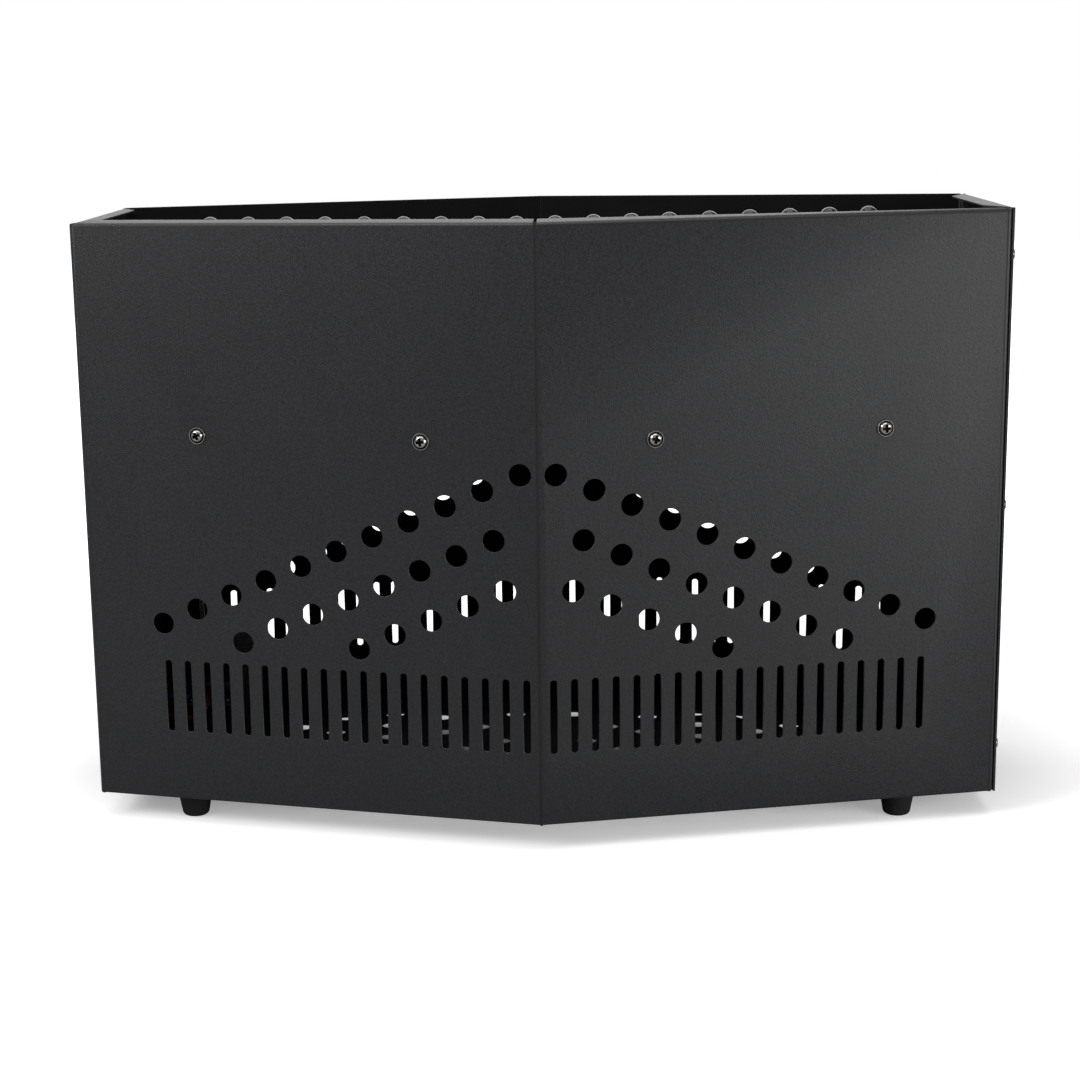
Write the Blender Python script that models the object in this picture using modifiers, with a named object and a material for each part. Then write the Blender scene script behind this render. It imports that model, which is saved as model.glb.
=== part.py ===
"""Flame effect light: a six-sided sheet steel box with an open top, two fans, two silk flames and a row of lenses.

The housing frame has X to the right, Y to the rear and Z up, with z = 0 at the bottom edge of the sheet steel.
Both long walls are shallow Vs. A place on one of them is given by its side (-1 left, 1 right), its facing
(-1 front, 1 rear), its distance along the wall from the ridge and its distance behind the wall's outer face.
"""

import math

import bmesh
import bpy
from mathutils import Matrix, Vector

# Housing
WIDTH = 0.500
SIDE_DEPTH = 0.140
RIDGE_REACH = 0.055
HEIGHT = 0.320
SHEET = 0.0012
SEAM = 0.0003
TOP_LIP = 0.027
BOTTOM_LIP = 0.027
SIDE_FLANGE = 0.012
RETURN_DEPTH = 0.020
RETURN_CHAMFER = 0.015
BEND_RELIEF = 0.0015
BEND_INSET = 0.0001

# Holes of both long walls
HOLE_RADIUS = 0.006
HOLE_SIDES = 8
SLOT_SIDES = 6
HOLE_STEP = 0.0203
HOLE_FALL = 0.0089
HOLE_ROWS = ((11, 0.0096, 0.1902), (8, 0.0241, 0.1549), (5, 0.0184, 0.1280))
SLOT_COUNT = 19
SLOT_START = 0.0073
SLOT_STEP = 0.0113
SLOT_WIDTH = 0.004
SLOT_BOTTOM = 0.0395
SLOT_TOP = 0.0803

# Feet
FOOT_HEIGHT = 0.014
FOOT_END_INSET = 0.053
FOOT_EDGE_INSET = 0.005
FOOT_TOP_RADIUS = 0.0100
FOOT_BOTTOM_RADIUS = 0.0078
FOOT_STEM_RADIUS = 0.003
FOOT_BARB_RADIUS = 0.0048
FOOT_BARB_HEIGHT = 0.003

# Screws
SCREW_RADIUS = 0.002
SCREW_COLLAR_RADIUS = 0.0046
SCREW_HEAD_RADIUS = 0.0039
SCREW_HEAD_HEIGHT = 0.0024
SCREW_LENGTH = 0.008
SCREW_FIT = 0.0003

# Fans, and the deck that carries them
DECK_SCREW_Z = 0.2066
DECK_SCREWS_ALONG = (0.0624, 0.1875)
DECK_FLANGE = 0.014
FAN_PITCH = 0.188
FAN_OUTER_RADIUS = 0.084
FAN_RIM_WIDTH = 0.008
FAN_WALL = 0.003
FAN_HEIGHT = 0.038
FAN_RIM = 0.004
MOTOR_LIFT = 0.006
MOTOR_RADIUS = 0.033
MOTOR_PLATE = 0.004
STRUT_WIDTH = 0.008
ROTOR_GAP = 0.001
ROTOR_HEIGHT = 0.022
BLADE_COUNT = 7
BLADE_CLEARANCE = 0.0025
BLADE_THICKNESS = 0.0016
BLADE_PITCH = math.radians(32)
BLADE_CHORD = 0.034
SHAFT_RADIUS = 0.003
GUARD_WIRE = 0.0011
GUARD_RING_COUNT = 3
GUARD_RING_STEP = 0.024
GUARD_HUB_RADIUS = 0.010

# Intake holes of the base
INTAKE_RADIUS = 0.006
INTAKE_SIDES = 6
INTAKE_RINGS = ((0.070, 14), (0.047, 8), (0.024, 4))
REAR_HOLE_X = 0.018
REAR_HOLE_Y = 0.069

# Lens row
LENS_RADIUS = 0.005
LENS_HEIGHT = 0.011
LENS_PROUD = 0.001
LENS_SETBACK = 0.034
LENS_START = 0.0178
LENS_PITCH_INNER = 0.0204
LENS_PITCH_OUTER = 0.0219
LENS_INNER_PITCHES = 3
LENS_COUNT = 9
LENS_STRIP = 0.0010
LENS_STRIP_WIDTH = 0.011
BOARD = 0.0016
LED_BOARD_WIDTH = 0.013
RAIL_SHEET = 0.0015
RAIL_WIDTH = 0.041
RAIL_DROP = 0.012

# Silk
SILK_WIDTH = 0.110
SILK_LIFT = 0.010
SILK_SPREAD = 0.048
SILK_THICKNESS = 0.0010
SILK_RAIL_RADIUS = 0.0015
SILK_RAIL_INSET = 0.0025

# Electrics at the left end
INLET_Y, INLET_Z = -0.027, 0.048
INLET_FLANGE_WIDTH, INLET_FLANGE_HEIGHT, INLET_FLANGE = 0.031, 0.050, 0.0025
INLET_BODY_WIDTH, INLET_BODY_HEIGHT, INLET_BODY_DEPTH = 0.027, 0.046, 0.024
SOCKET_WIDTH, SOCKET_HEIGHT, SOCKET_DEPTH = 0.0236, 0.0166, 0.017
SOCKET_RISE = 0.0110
PIN_SPACING, PIN_WIDTH, PIN_HEIGHT, PIN_RECESS = 0.007, 0.002, 0.004, 0.006
DRAWER_DROP = 0.0105
DRAWER_WIDTH, DRAWER_HEIGHT, DRAWER_DEPTH = 0.020, 0.009, 0.016
DRAWER_FACE_WIDTH, DRAWER_FACE_HEIGHT, DRAWER_FACE = 0.024, 0.0125, 0.0016
RUNNING_GAP = 0.0003
SWITCH_Y, SWITCH_Z = 0.020, 0.048
SWITCH_FLANGE_WIDTH, SWITCH_FLANGE_HEIGHT, SWITCH_FLANGE = 0.019, 0.025, 0.0015
SWITCH_BODY_WIDTH, SWITCH_BODY_HEIGHT, SWITCH_BODY_DEPTH = 0.016, 0.022, 0.016
ROCKER_WIDTH, ROCKER_HALF_HEIGHT, ROCKER_WELL_DEPTH = 0.0124, 0.0086, 0.0105
ROCKER_PIVOT_DEPTH = 0.003
ROCKER_TILT = math.radians(8)
DATA_SOCKET_Y, DATA_SOCKET_Z = 0.021, 0.112
DATA_FLANGE_WIDTH, DATA_FLANGE_HEIGHT, DATA_FLANGE = 0.026, 0.031, 0.0016
DATA_BARREL_RADIUS, DATA_BARREL_DEPTH = 0.0118, 0.022
DATA_WELL_RADIUS, DATA_WELL_DEPTH = 0.0092, 0.015
DATA_PIN_RADIUS, DATA_PIN_CIRCLE, DATA_PIN_RECESS = 0.0012, 0.005, 0.006
PANEL_Z = 0.172
BEZEL_WIDTH, BEZEL_HEIGHT, BEZEL = 0.084, 0.038, 0.0020
WINDOW_WIDTH, WINDOW_HEIGHT, WINDOW, WINDOW_RISE = 0.042, 0.0130, 0.0016, 0.0075
BUTTON_RADIUS, BUTTON_PROUD, BUTTON_SPACING, BUTTON_DROP = 0.0030, 0.0014, 0.018, 0.0100
BUTTON_FLANGE_RADIUS, BUTTON_FLANGE, BUTTON_STEM = 0.0044, 0.0011, 0.0012
BUTTON_COUNT = 4
BOARD_SETBACK = 0.0094
BOARD_WIDTH, BOARD_HEIGHT = 0.080, 0.040
POST_RADIUS = 0.0022
KEY_SIZE, KEY_HEIGHT = 0.006, 0.0040
SUPPLY_SETBACK, SUPPLY_WIDTH, SUPPLY_LENGTH, SUPPLY_HEIGHT = 0.036, 0.040, 0.104, 0.062
TERMINAL_LENGTH, TERMINAL_DROP = 0.018, 0.020
WIRE_RADIUS = 0.0014
LOOM_RADIUS = 0.0025
LOOM_INSET = 0.008
LOOM_Y = 0.020
LOOM_HOLE_RADIUS = 0.006

SLOPE = math.atan2(RIDGE_REACH, WIDTH / 2)
RIDGE_Y = SIDE_DEPTH / 2 + RIDGE_REACH
RIGHT_WALL_X = WIDTH / 2 - SHEET - SEAM
LEFT_PLATE_X = WIDTH / 2 - SHEET - SEAM
WALL_CLEAR = SHEET + SEAM
BASE_LOW = SHEET + SEAM
BASE_TOP = BASE_LOW + SHEET
DECK_TOP = DECK_SCREW_Z + DECK_FLANGE / 2
FAN_BORE_RADIUS = FAN_OUTER_RADIUS - FAN_RIM_WIDTH
FAN_LOW = DECK_TOP + SEAM
FAN_TOP = FAN_LOW + FAN_HEIGHT
GUARD_LOW = FAN_TOP + SEAM
SILK_RAIL_Z = GUARD_LOW + 4 * GUARD_WIRE + SILK_LIFT
LENS_TOP = HEIGHT + LENS_PROUD
LED_BOARD_TOP = LENS_TOP - LENS_HEIGHT - SEAM
RAIL_TOP = LED_BOARD_TOP - BOARD - SEAM

PARTS = "flame_effect_light"
CUTTERS = "cutters"

BLACK_PAINT = ((0.022, 0.023, 0.025), 0.55, 0.0)
NICKEL = ((0.62, 0.60, 0.56), 0.28, 1.0)
RUBBER = ((0.012, 0.012, 0.013), 0.75, 0.0)
BLACK_PLASTIC = ((0.016, 0.016, 0.018), 0.4, 0.0)
CLEAR = ((0.85, 0.88, 0.90), 0.06, 0.0)
ALUMINIUM = ((0.60, 0.61, 0.63), 0.4, 1.0)
WHITE_BOARD = ((0.75, 0.76, 0.74), 0.5, 0.0)
GREEN_BOARD = ((0.02, 0.16, 0.06), 0.45, 0.0)
GALVANISED = ((0.55, 0.57, 0.58), 0.45, 1.0)
SILK_WHITE = ((0.86, 0.84, 0.80), 0.8, 0.0)
BROWN_WIRE = ((0.22, 0.05, 0.02), 0.5, 0.0)
BLUE_WIRE = ((0.02, 0.08, 0.35), 0.5, 0.0)
DARK_WINDOW = ((0.01, 0.01, 0.012), 0.08, 0.0)
GREY_BUTTON = ((0.25, 0.26, 0.27), 0.5, 0.0)


def clear_scene():
    for obj in list(bpy.data.objects):
        bpy.data.objects.remove(obj, do_unlink=True)


def collection(name):
    found = bpy.data.collections.get(name)
    if found is None:
        found = bpy.data.collections.new(name)
        bpy.context.scene.collection.children.link(found)
    return found


def material(name, look):
    colour, roughness, metallic = look
    made = bpy.data.materials.new(name)
    made.use_nodes = True
    shader = made.node_tree.nodes["Principled BSDF"]
    shader.inputs["Base Color"].default_value = (*colour, 1.0)
    shader.inputs["Roughness"].default_value = roughness
    shader.inputs["Metallic"].default_value = metallic
    made.diffuse_color = (*colour, 1.0)
    return made


def housing_frame():
    """The empty that carries every piece. Its origin is the middle of the housing's bottom edge."""
    frame = bpy.data.objects.get("housing_frame")
    if frame is None:
        frame = bpy.data.objects.new("housing_frame", None)
        collection(PARTS).objects.link(frame)
    return frame


def piece(name, data, look, place=(0, 0, 0), turn=None, smooth=False):
    """A visible piece with its own material, parented to the housing frame."""
    obj = bpy.data.objects.new(name, data)
    collection(PARTS).objects.link(obj)
    obj.parent = housing_frame()
    obj.matrix_local = Matrix.Translation(place) @ (turn or Matrix.Identity(4))
    if not data.materials:
        data.materials.append(None)
    obj.material_slots[0].link = "OBJECT"
    obj.material_slots[0].material = material(name, look)
    if smooth:
        data.shade_smooth()
        data.set_sharp_from_angle(angle=math.radians(40))
    return obj


def helper(name, data, place=(0, 0, 0), turn=None):
    """A hidden solid that a Boolean cuts away or joins on."""
    obj = bpy.data.objects.new(name, data)
    collection(CUTTERS).objects.link(obj)
    obj.parent = housing_frame()
    obj.matrix_local = Matrix.Translation(place) @ (turn or Matrix.Identity(4))
    obj.hide_render = True
    obj.display_type = "WIRE"
    return obj


def combine(obj, other, operation):
    modifier = obj.modifiers.new(f"{operation.lower()} {other.name}", "BOOLEAN")
    modifier.operation = operation
    modifier.object = other
    modifier.solver = "EXACT"


def cut(obj, other):
    combine(obj, other, "DIFFERENCE")


def join(obj, other):
    combine(obj, other, "UNION")


def mesh_from(bm, name):
    bmesh.ops.recalc_face_normals(bm, faces=bm.faces)
    mesh = bpy.data.meshes.new(name)
    bm.to_mesh(mesh)
    bm.free()
    return mesh


def box(name, low, high):
    """A box mesh between two corners."""
    bm = bmesh.new()
    low, high = Vector(low), Vector(high)
    bmesh.ops.create_cube(bm, size=1.0)
    bmesh.ops.scale(bm, vec=high - low, verts=bm.verts)
    bmesh.ops.translate(bm, vec=(low + high) / 2, verts=bm.verts)
    return mesh_from(bm, name)


def boxes(name, corners):
    """One mesh of several boxes that stay apart."""
    bm = bmesh.new()
    for low, high in corners:
        size = Vector(high) - Vector(low)
        middle = (Vector(high) + Vector(low)) / 2
        matrix = Matrix.Translation(middle) @ Matrix.Diagonal((*size, 1.0))
        bmesh.ops.create_cube(bm, size=1.0, matrix=matrix)
    return mesh_from(bm, name)


def rod(bm, radius, low, high, sides, x=0.0, y=0.0):
    """Adds an upright cylinder between two heights."""
    matrix = Matrix.Translation((x, y, (low + high) / 2))
    bmesh.ops.create_cone(
        bm, cap_ends=True, segments=sides, radius1=radius, radius2=radius, depth=high - low, matrix=matrix
    )


def rods(name, radius, low, high, sides, centres=((0.0, 0.0),)):
    """One mesh of equal upright cylinders at the given centres."""
    bm = bmesh.new()
    for x, y in centres:
        rod(bm, radius, low, high, sides, x, y)
    return mesh_from(bm, name)


def from_object(obj):
    """The evaluated mesh of a curve or of an object with modifiers, welded, and the object removed."""
    bpy.context.view_layer.update()
    graph = bpy.context.evaluated_depsgraph_get()
    mesh = bpy.data.meshes.new_from_object(obj.evaluated_get(graph))
    matrix = obj.matrix_world.copy()
    bpy.data.objects.remove(obj, do_unlink=True)
    bm = bmesh.new()
    bm.from_mesh(mesh)
    bmesh.ops.transform(bm, matrix=matrix, verts=bm.verts)
    bmesh.ops.remove_doubles(bm, verts=bm.verts, dist=1e-6)
    bpy.data.meshes.remove(mesh)
    return mesh_from(bm, "welded")


def plate(name, outline, low, high):
    """A flat plate with this plan outline between two heights, as a mesh."""
    curve = bpy.data.curves.new(name, "CURVE")
    curve.dimensions = "2D"
    curve.fill_mode = "BOTH"
    curve.extrude = (high - low) / 2
    spline = curve.splines.new("POLY")
    spline.points.add(len(outline) - 1)
    for point, place in zip(spline.points, outline):
        point.co = (place[0], place[1], 0.0, 1.0)
    spline.use_cyclic_u = True
    obj = bpy.data.objects.new(name, curve)
    obj.location.z = (low + high) / 2
    bpy.context.scene.collection.objects.link(obj)
    return from_object(obj)


def turned_mesh(name, profile, steps, closed=False):
    """A turned solid as a mesh. The profile runs down its outer side, from (radius, height) to (radius, height)."""
    mesh = bpy.data.meshes.new(name)
    edges = [(i, i + 1) for i in range(len(profile) - 1)]
    if closed:
        edges.append((len(profile) - 1, 0))
    mesh.from_pydata([(radius, 0.0, height) for radius, height in profile], edges, [])
    obj = bpy.data.objects.new(name, mesh)
    bpy.context.scene.collection.objects.link(obj)
    screw = obj.modifiers.new("turn", "SCREW")
    screw.steps = steps
    screw.render_steps = steps
    screw.use_merge_vertices = True
    screw.merge_threshold = 1e-6
    return from_object(obj)


def smooth_route(points, steps):
    """Points of a smooth curve through the given ones, by Catmull-Rom."""
    points = [Vector(p) for p in points]
    padded = [2 * points[0] - points[1], *points, 2 * points[-1] - points[-2]]
    route = []
    for a, b, c, d in zip(padded, padded[1:], padded[2:], padded[3:]):
        for i in range(steps):
            t = i / steps
            bend = (c - a) * t + (2 * a - 5 * b + 4 * c - d) * t**2 + (3 * b - a - 3 * c + d) * t**3
            route.append(b + bend / 2)
    return [*route, points[-1]]


def tube(name, points, radius, cyclic=False, resolution=1):
    """A round tube along points, as a curve."""
    curve = bpy.data.curves.new(name, "CURVE")
    curve.dimensions = "3D"
    curve.bevel_depth = radius
    curve.bevel_resolution = resolution
    curve.use_fill_caps = not cyclic
    spline = curve.splines.new("POLY")
    spline.points.add(len(points) - 1)
    for point, place in zip(spline.points, points):
        point.co = (*place, 1.0)
    spline.use_cyclic_u = cyclic
    return curve


def tube_mesh(name, points, radius, cyclic=False):
    """A thin tube as a welded mesh, for a Boolean."""
    obj = bpy.data.objects.new(name, tube(name, points, radius, cyclic, 0))
    bpy.context.scene.collection.objects.link(obj)
    return from_object(obj)


def on_wall(side, facing, along, behind, z=0.0):
    """A point of a long wall, from its ridge along it and from its outer face inwards."""
    x = along * math.cos(SLOPE) - behind * math.sin(SLOPE)
    y = RIDGE_Y - along * math.sin(SLOPE) - behind * math.cos(SLOPE)
    return Vector((side * x, facing * y, z))


def along_at(x, behind):
    """How far along a long wall the point with this x lies."""
    return (x + behind * math.sin(SLOPE)) / math.cos(SLOPE)


def wall_axis(side, facing):
    """Turns Z to a long wall's outward normal, with Y up."""
    normal = Vector((side * math.sin(SLOPE), facing * math.cos(SLOPE), 0.0))
    return normal.to_track_quat("Z", "Y").to_matrix().to_4x4()


def wall_end(side):
    """The x of a long wall's outer corner: the right one lies under the side cover."""
    return WIDTH / 2 if side < 0 else RIGHT_WALL_X


def edge_at(bm, *points):
    """The edge that ends at these two points."""
    def near(edge, point):
        return min((vert.co - point).length for vert in edge.verts) < 1e-6

    return next(edge for edge in bm.edges if all(near(edge, point) for point in points))


def fold(bm, edge, ends):
    """Folds a flange out from an edge. ends pairs each end of the edge with the flange's matching corner."""
    made = bmesh.ops.extrude_edge_only(bm, edges=[edge])["geom"]
    for vert in made:
        if isinstance(vert, bmesh.types.BMVert):
            vert.co = next(corner for end, corner in ends if (vert.co - end).length < 1e-6)


def lip_corners(side, facing, z, depth):
    """The two corners of a lip's free edge: next to the ridge, and next to the side flange that it is mitred to."""
    ridge = on_wall(side, facing, along_at(BEND_RELIEF, depth), depth, z)
    mitre = on_wall(side, facing, along_at(WIDTH / 2 - SIDE_FLANGE - SEAM, depth), depth, z)
    return ridge, mitre


def folded_wall(name, facing, top_lip):
    """A long wall folded from one sheet: the V, the end returns, the bottom lips and maybe the top lips."""
    stops = []
    for side in (-1, 1):
        places = [BEND_RELIEF, along_at(base_end(), 0.0), along_at(wall_end(side), 0.0)]
        stops.append([on_wall(side, facing, along, 0.0) for along in places])
    row = [*reversed(stops[0]), on_wall(1, facing, 0.0, 0.0), *stops[1]]
    bm = bmesh.new()
    verts = [bm.verts.new(place) for place in row]
    edges = [bm.edges.new(pair) for pair in zip(verts, verts[1:])]
    made = bmesh.ops.extrude_edge_only(bm, edges=edges)["geom"]
    raised = [vert for vert in made if isinstance(vert, bmesh.types.BMVert)]
    bmesh.ops.translate(bm, vec=(0, 0, HEIGHT), verts=raised)
    up = Vector((0, 0, HEIGHT))
    for side, (near, far, corner) in zip((-1, 1), stops):
        ridge, mitre = lip_corners(side, facing, 0.0, BOTTOM_LIP)
        fold(bm, edge_at(bm, near, far), ((near, ridge), (far, mitre)))
        if top_lip:
            ridge, mitre = lip_corners(side, facing, HEIGHT, top_lip)
            fold(bm, edge_at(bm, near + up, far + up), ((near + up, ridge), (far + up, mitre)))
        inner = Vector((corner.x, facing * (SIDE_DEPTH / 2 - RETURN_DEPTH), 0.0))
        low = inner + Vector((0, 0, RETURN_CHAMFER))
        high = inner + Vector((0, 0, HEIGHT - RETURN_CHAMFER))
        fold(bm, edge_at(bm, corner, corner + up), ((corner, low), (corner + up, high)))
    return sheet_piece(name, bm, Vector((0, facing, 0)))


def sheet_piece(name, bm, outward):
    """A piece of painted sheet from a folded open surface. Its wall's outer face is the one that faces outward."""
    bmesh.ops.recalc_face_normals(bm, faces=bm.faces)
    wall_face = next(face for face in bm.faces if abs(face.normal.dot(outward)) > 0.9)
    if wall_face.normal.dot(outward) < 0:
        bmesh.ops.reverse_faces(bm, faces=bm.faces)
    mesh = bpy.data.meshes.new(name)
    bm.to_mesh(mesh)
    bm.free()
    obj = piece(name, mesh, BLACK_PAINT)
    thicken(obj, SHEET)
    return obj


def thicken(obj, thickness):
    """Gives an open surface its thickness, on the side away from its normals."""
    solidify = obj.modifiers.new("sheet", "SOLIDIFY")
    solidify.solidify_mode = "NON_MANIFOLD"
    solidify.nonmanifold_thickness_mode = "CONSTRAINTS"
    solidify.nonmanifold_merge_threshold = 1e-6
    solidify.thickness = thickness
    solidify.offset = -1.0


def hole_places():
    """(along, z) of the round holes in one half of a long wall."""
    return [
        (start + HOLE_STEP * i, top - HOLE_FALL * i) for count, start, top in HOLE_ROWS for i in range(count)
    ]


def punch(bm, radius, sides, matrix, straight=0.0):
    """Adds a punch through a wall: a round one, or one for a slot with this straight length."""
    made = bmesh.ops.create_cone(
        bm, cap_ends=True, segments=sides, radius1=radius, radius2=radius, depth=4 * SHEET
    )["verts"]
    for vert in made:
        vert.co.y += math.copysign(straight / 2, vert.co.y)
    bmesh.ops.transform(bm, matrix=matrix, verts=made)


def wall_punches(facing):
    """The punches for the holes, slots and deck screws of a long wall, as one mesh."""
    bm = bmesh.new()
    slot_radius = SLOT_WIDTH / 2 / math.cos(math.pi / SLOT_SIDES)
    slot_middle = (SLOT_BOTTOM + SLOT_TOP) / 2
    slot_straight = SLOT_TOP - SLOT_BOTTOM - 2 * slot_radius
    for side in (-1, 1):
        turn = wall_axis(side, facing)
        for along, z in hole_places():
            place = Matrix.Translation(on_wall(side, facing, along, SHEET / 2, z))
            punch(bm, HOLE_RADIUS, HOLE_SIDES, place @ turn)
        for i in range(SLOT_COUNT):
            along = SLOT_START + SLOT_STEP * i
            place = Matrix.Translation(on_wall(side, facing, along, SHEET / 2, slot_middle))
            punch(bm, slot_radius, SLOT_SIDES, place @ turn, slot_straight)
        for along in DECK_SCREWS_ALONG:
            place = Matrix.Translation(on_wall(side, facing, along, SHEET / 2, DECK_SCREW_Z))
            punch(bm, SCREW_RADIUS + SCREW_FIT, 8, place @ turn)
    return mesh_from(bm, "wall punches")


def foot_places():
    foot_x, foot_y = WIDTH / 2 - FOOT_END_INSET, SIDE_DEPTH / 2 - FOOT_EDGE_INSET
    return [(x, y) for y in (-foot_y, foot_y) for x in (-foot_x, foot_x)]


def side_screw_places():
    """(y, z) of the screws of the right side cover."""
    inset_y = RETURN_DEPTH / 2
    inset_z = RETURN_CHAMFER + RETURN_DEPTH / 2
    heights = (inset_z, HEIGHT / 2, HEIGHT - inset_z)
    return [(y, z) for y in (inset_y - SIDE_DEPTH / 2, SIDE_DEPTH / 2 - inset_y) for z in heights]


def side_punches(name):
    """Punches along X for the screws of the right side cover."""
    bm = bmesh.new()
    turn = Matrix.Rotation(math.pi / 2, 4, "Y")
    for y, z in side_screw_places():
        place = Matrix.Translation((RIGHT_WALL_X, y, z))
        punch(bm, SCREW_RADIUS + SCREW_FIT, 8, place @ turn)
    return helper(name, mesh_from(bm, name))


def make_walls(foot_bores, side_bores):
    for name, facing, top_lip in (("front_panel", -1, TOP_LIP), ("rear_panel", 1, 0.0)):
        obj = folded_wall(name, facing, top_lip)
        cut(obj, helper(f"{name} punches", wall_punches(facing)))
        cut(obj, foot_bores)
        cut(obj, side_bores)


def side_plate(name, side, x, half_depth):
    """A side wall with narrow top and bottom flanges, mitred to the lips of the long walls."""
    ends = (-half_depth, BEND_RELIEF - half_depth, half_depth - BEND_RELIEF, half_depth)
    bm = bmesh.new()
    verts = [bm.verts.new((side * x, y, 0.0)) for y in ends]
    edges = [bm.edges.new(pair) for pair in zip(verts, verts[1:])]
    made = bmesh.ops.extrude_edge_only(bm, edges=edges)["geom"]
    raised = [vert for vert in made if isinstance(vert, bmesh.types.BMVert)]
    bmesh.ops.translate(bm, vec=(0, 0, HEIGHT), verts=raised)
    for depth, z in ((BOTTOM_LIP, 0.0), (TOP_LIP, HEIGHT)):
        pairs = []
        for facing, y in zip((-1, 1), ends[1:3]):
            free = on_wall(side, facing, along_at(WIDTH / 2 - SIDE_FLANGE, depth), depth, z)
            pairs.append((Vector((side * x, y, z)), free))
        fold(bm, edge_at(bm, *(start for start, free in pairs)), pairs)
    return sheet_piece(name, bm, Vector((side, 0, 0)))


def v_line(facing, behind, end):
    """Three plan points of the V that stays this far behind a long wall and reaches this x at both ends."""
    tip = RIDGE_Y - behind / math.cos(SLOPE)
    left, right = (on_wall(side, facing, along_at(end, behind), behind) for side in (-1, 1))
    return [left, Vector((0.0, facing * tip, 0.0)), right]


def wall_outline(behind, end):
    """The plan outline of a sheet that fills the housing, this far behind the long walls."""
    return [*v_line(-1, behind, end), *reversed(v_line(1, behind, end))]


def base_end():
    """How far the base and the deck reach towards each side."""
    return WIDTH / 2 - 2 * (SHEET + SEAM)


def make_base(foot_bores):
    outline = wall_outline(WALL_CLEAR, base_end())
    base = piece("base_plate", plate("base_plate", outline, BASE_LOW, BASE_TOP), BLACK_PAINT)
    centres = [(REAR_HOLE_X * side, REAR_HOLE_Y) for side in (-1, 1)]
    for side in (-1, 1):
        for radius, count in INTAKE_RINGS:
            for i in range(count):
                angle = math.tau * i / count + math.pi / 2
                x = side * FAN_PITCH / 2 + radius * math.cos(angle)
                centres.append((x, radius * math.sin(angle)))
    low, high = BASE_LOW - SHEET, BASE_TOP + SHEET
    cut(base, helper("intake holes", rods("intake holes", INTAKE_RADIUS, low, high, INTAKE_SIDES, centres)))
    cut(base, foot_bores)


def make_feet():
    """Tapered push-in feet. A barb above the base holds each stem."""
    barb = BASE_TOP + SEAM
    profile = [
        (0.0, barb + FOOT_BARB_HEIGHT),
        (FOOT_STEM_RADIUS, barb + FOOT_BARB_HEIGHT),
        (FOOT_BARB_RADIUS, barb),
        (FOOT_STEM_RADIUS, barb),
        (FOOT_STEM_RADIUS, -SEAM),
        (FOOT_TOP_RADIUS, -SEAM),
        (FOOT_TOP_RADIUS, -0.1 * FOOT_HEIGHT),
        (FOOT_BOTTOM_RADIUS, -0.9 * FOOT_HEIGHT),
        (0.9 * FOOT_BOTTOM_RADIUS, -FOOT_HEIGHT),
        (0.0, -FOOT_HEIGHT),
    ]
    mesh = turned_mesh("foot", profile, 10)
    names = ("foot_front_left", "foot_front_right", "foot_rear_left", "foot_rear_right")
    for name, (x, y) in zip(names, foot_places()):
        piece(name, mesh, RUBBER, (x, y, 0.0), smooth=True)


def screw_mesh():
    """A pan head screw with a collar. z = 0 is its seat, and the shank runs down."""
    profile = [
        (0.0, SCREW_HEAD_HEIGHT),
        (SCREW_HEAD_RADIUS, 0.45 * SCREW_HEAD_HEIGHT),
        (SCREW_COLLAR_RADIUS, 0.20 * SCREW_HEAD_HEIGHT),
        (SCREW_COLLAR_RADIUS, 0.0),
        (SCREW_RADIUS, 0.0),
        (SCREW_RADIUS, -SCREW_LENGTH),
        (0.0, -SCREW_LENGTH),
    ]
    return turned_mesh("screw", profile, 8)


def make_screws():
    mesh = screw_mesh()
    for facing, row in ((-1, "front"), (1, "rear")):
        for side, half in ((-1, "left"), (1, "right")):
            for along, place in zip(DECK_SCREWS_ALONG, ("inner", "outer")):
                seat = on_wall(side, facing, along, -SEAM, DECK_SCREW_Z)
                piece(f"deck_screw_{row}_{half}_{place}", mesh, NICKEL, seat, wall_axis(side, facing), True)
    turn = Matrix.Rotation(math.pi / 2, 4, "Y")
    for y, z in side_screw_places():
        edge = "front" if y < 0 else "rear"
        level = "middle" if abs(z - HEIGHT / 2) < SHEET else ("low" if z < HEIGHT / 2 else "high")
        piece(f"cover_screw_{edge}_{level}", mesh, NICKEL, (WIDTH / 2 + SEAM, y, z), turn, True)


def make_deck():
    """The shelf under the fans, with a flange down along both long walls."""
    outline = wall_outline(WALL_CLEAR, base_end())
    deck = piece("fan_deck", plate("fan_deck", outline, DECK_TOP - SHEET, DECK_TOP), GALVANISED)
    for facing, name in ((-1, "front"), (1, "rear")):
        outer = v_line(facing, WALL_CLEAR + BEND_INSET, base_end() - BEND_RELIEF)
        inner = v_line(facing, WALL_CLEAR + BEND_INSET + SHEET, base_end() - BEND_RELIEF)
        flange = plate("flange", [*outer, *reversed(inner)], DECK_TOP - DECK_FLANGE, DECK_TOP - SHEET / 2)
        join(deck, helper(f"{name} deck flange", flange))
    low, high = DECK_TOP - 2 * SHEET, DECK_TOP + SHEET
    centres = [(side * FAN_PITCH / 2, 0.0) for side in (-1, 1)]
    cut(deck, helper("fan openings", rods("fan openings", FAN_BORE_RADIUS, low, high, 24, centres)))
    loom_hole = rods("loom hole", LOOM_HOLE_RADIUS, low, high, 8, [(loom_x(), LOOM_Y)])
    cut(deck, helper("loom hole", loom_hole))
    bm = bmesh.new()
    for facing in (-1, 1):
        for side in (-1, 1):
            for along in DECK_SCREWS_ALONG:
                place = Matrix.Translation(on_wall(side, facing, along, WALL_CLEAR + SHEET / 2, DECK_SCREW_Z))
                punch(bm, SCREW_RADIUS + SCREW_FIT, 8, place @ wall_axis(side, facing))
    cut(deck, helper("deck screw holes", mesh_from(bm, "deck screw holes")))


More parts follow.
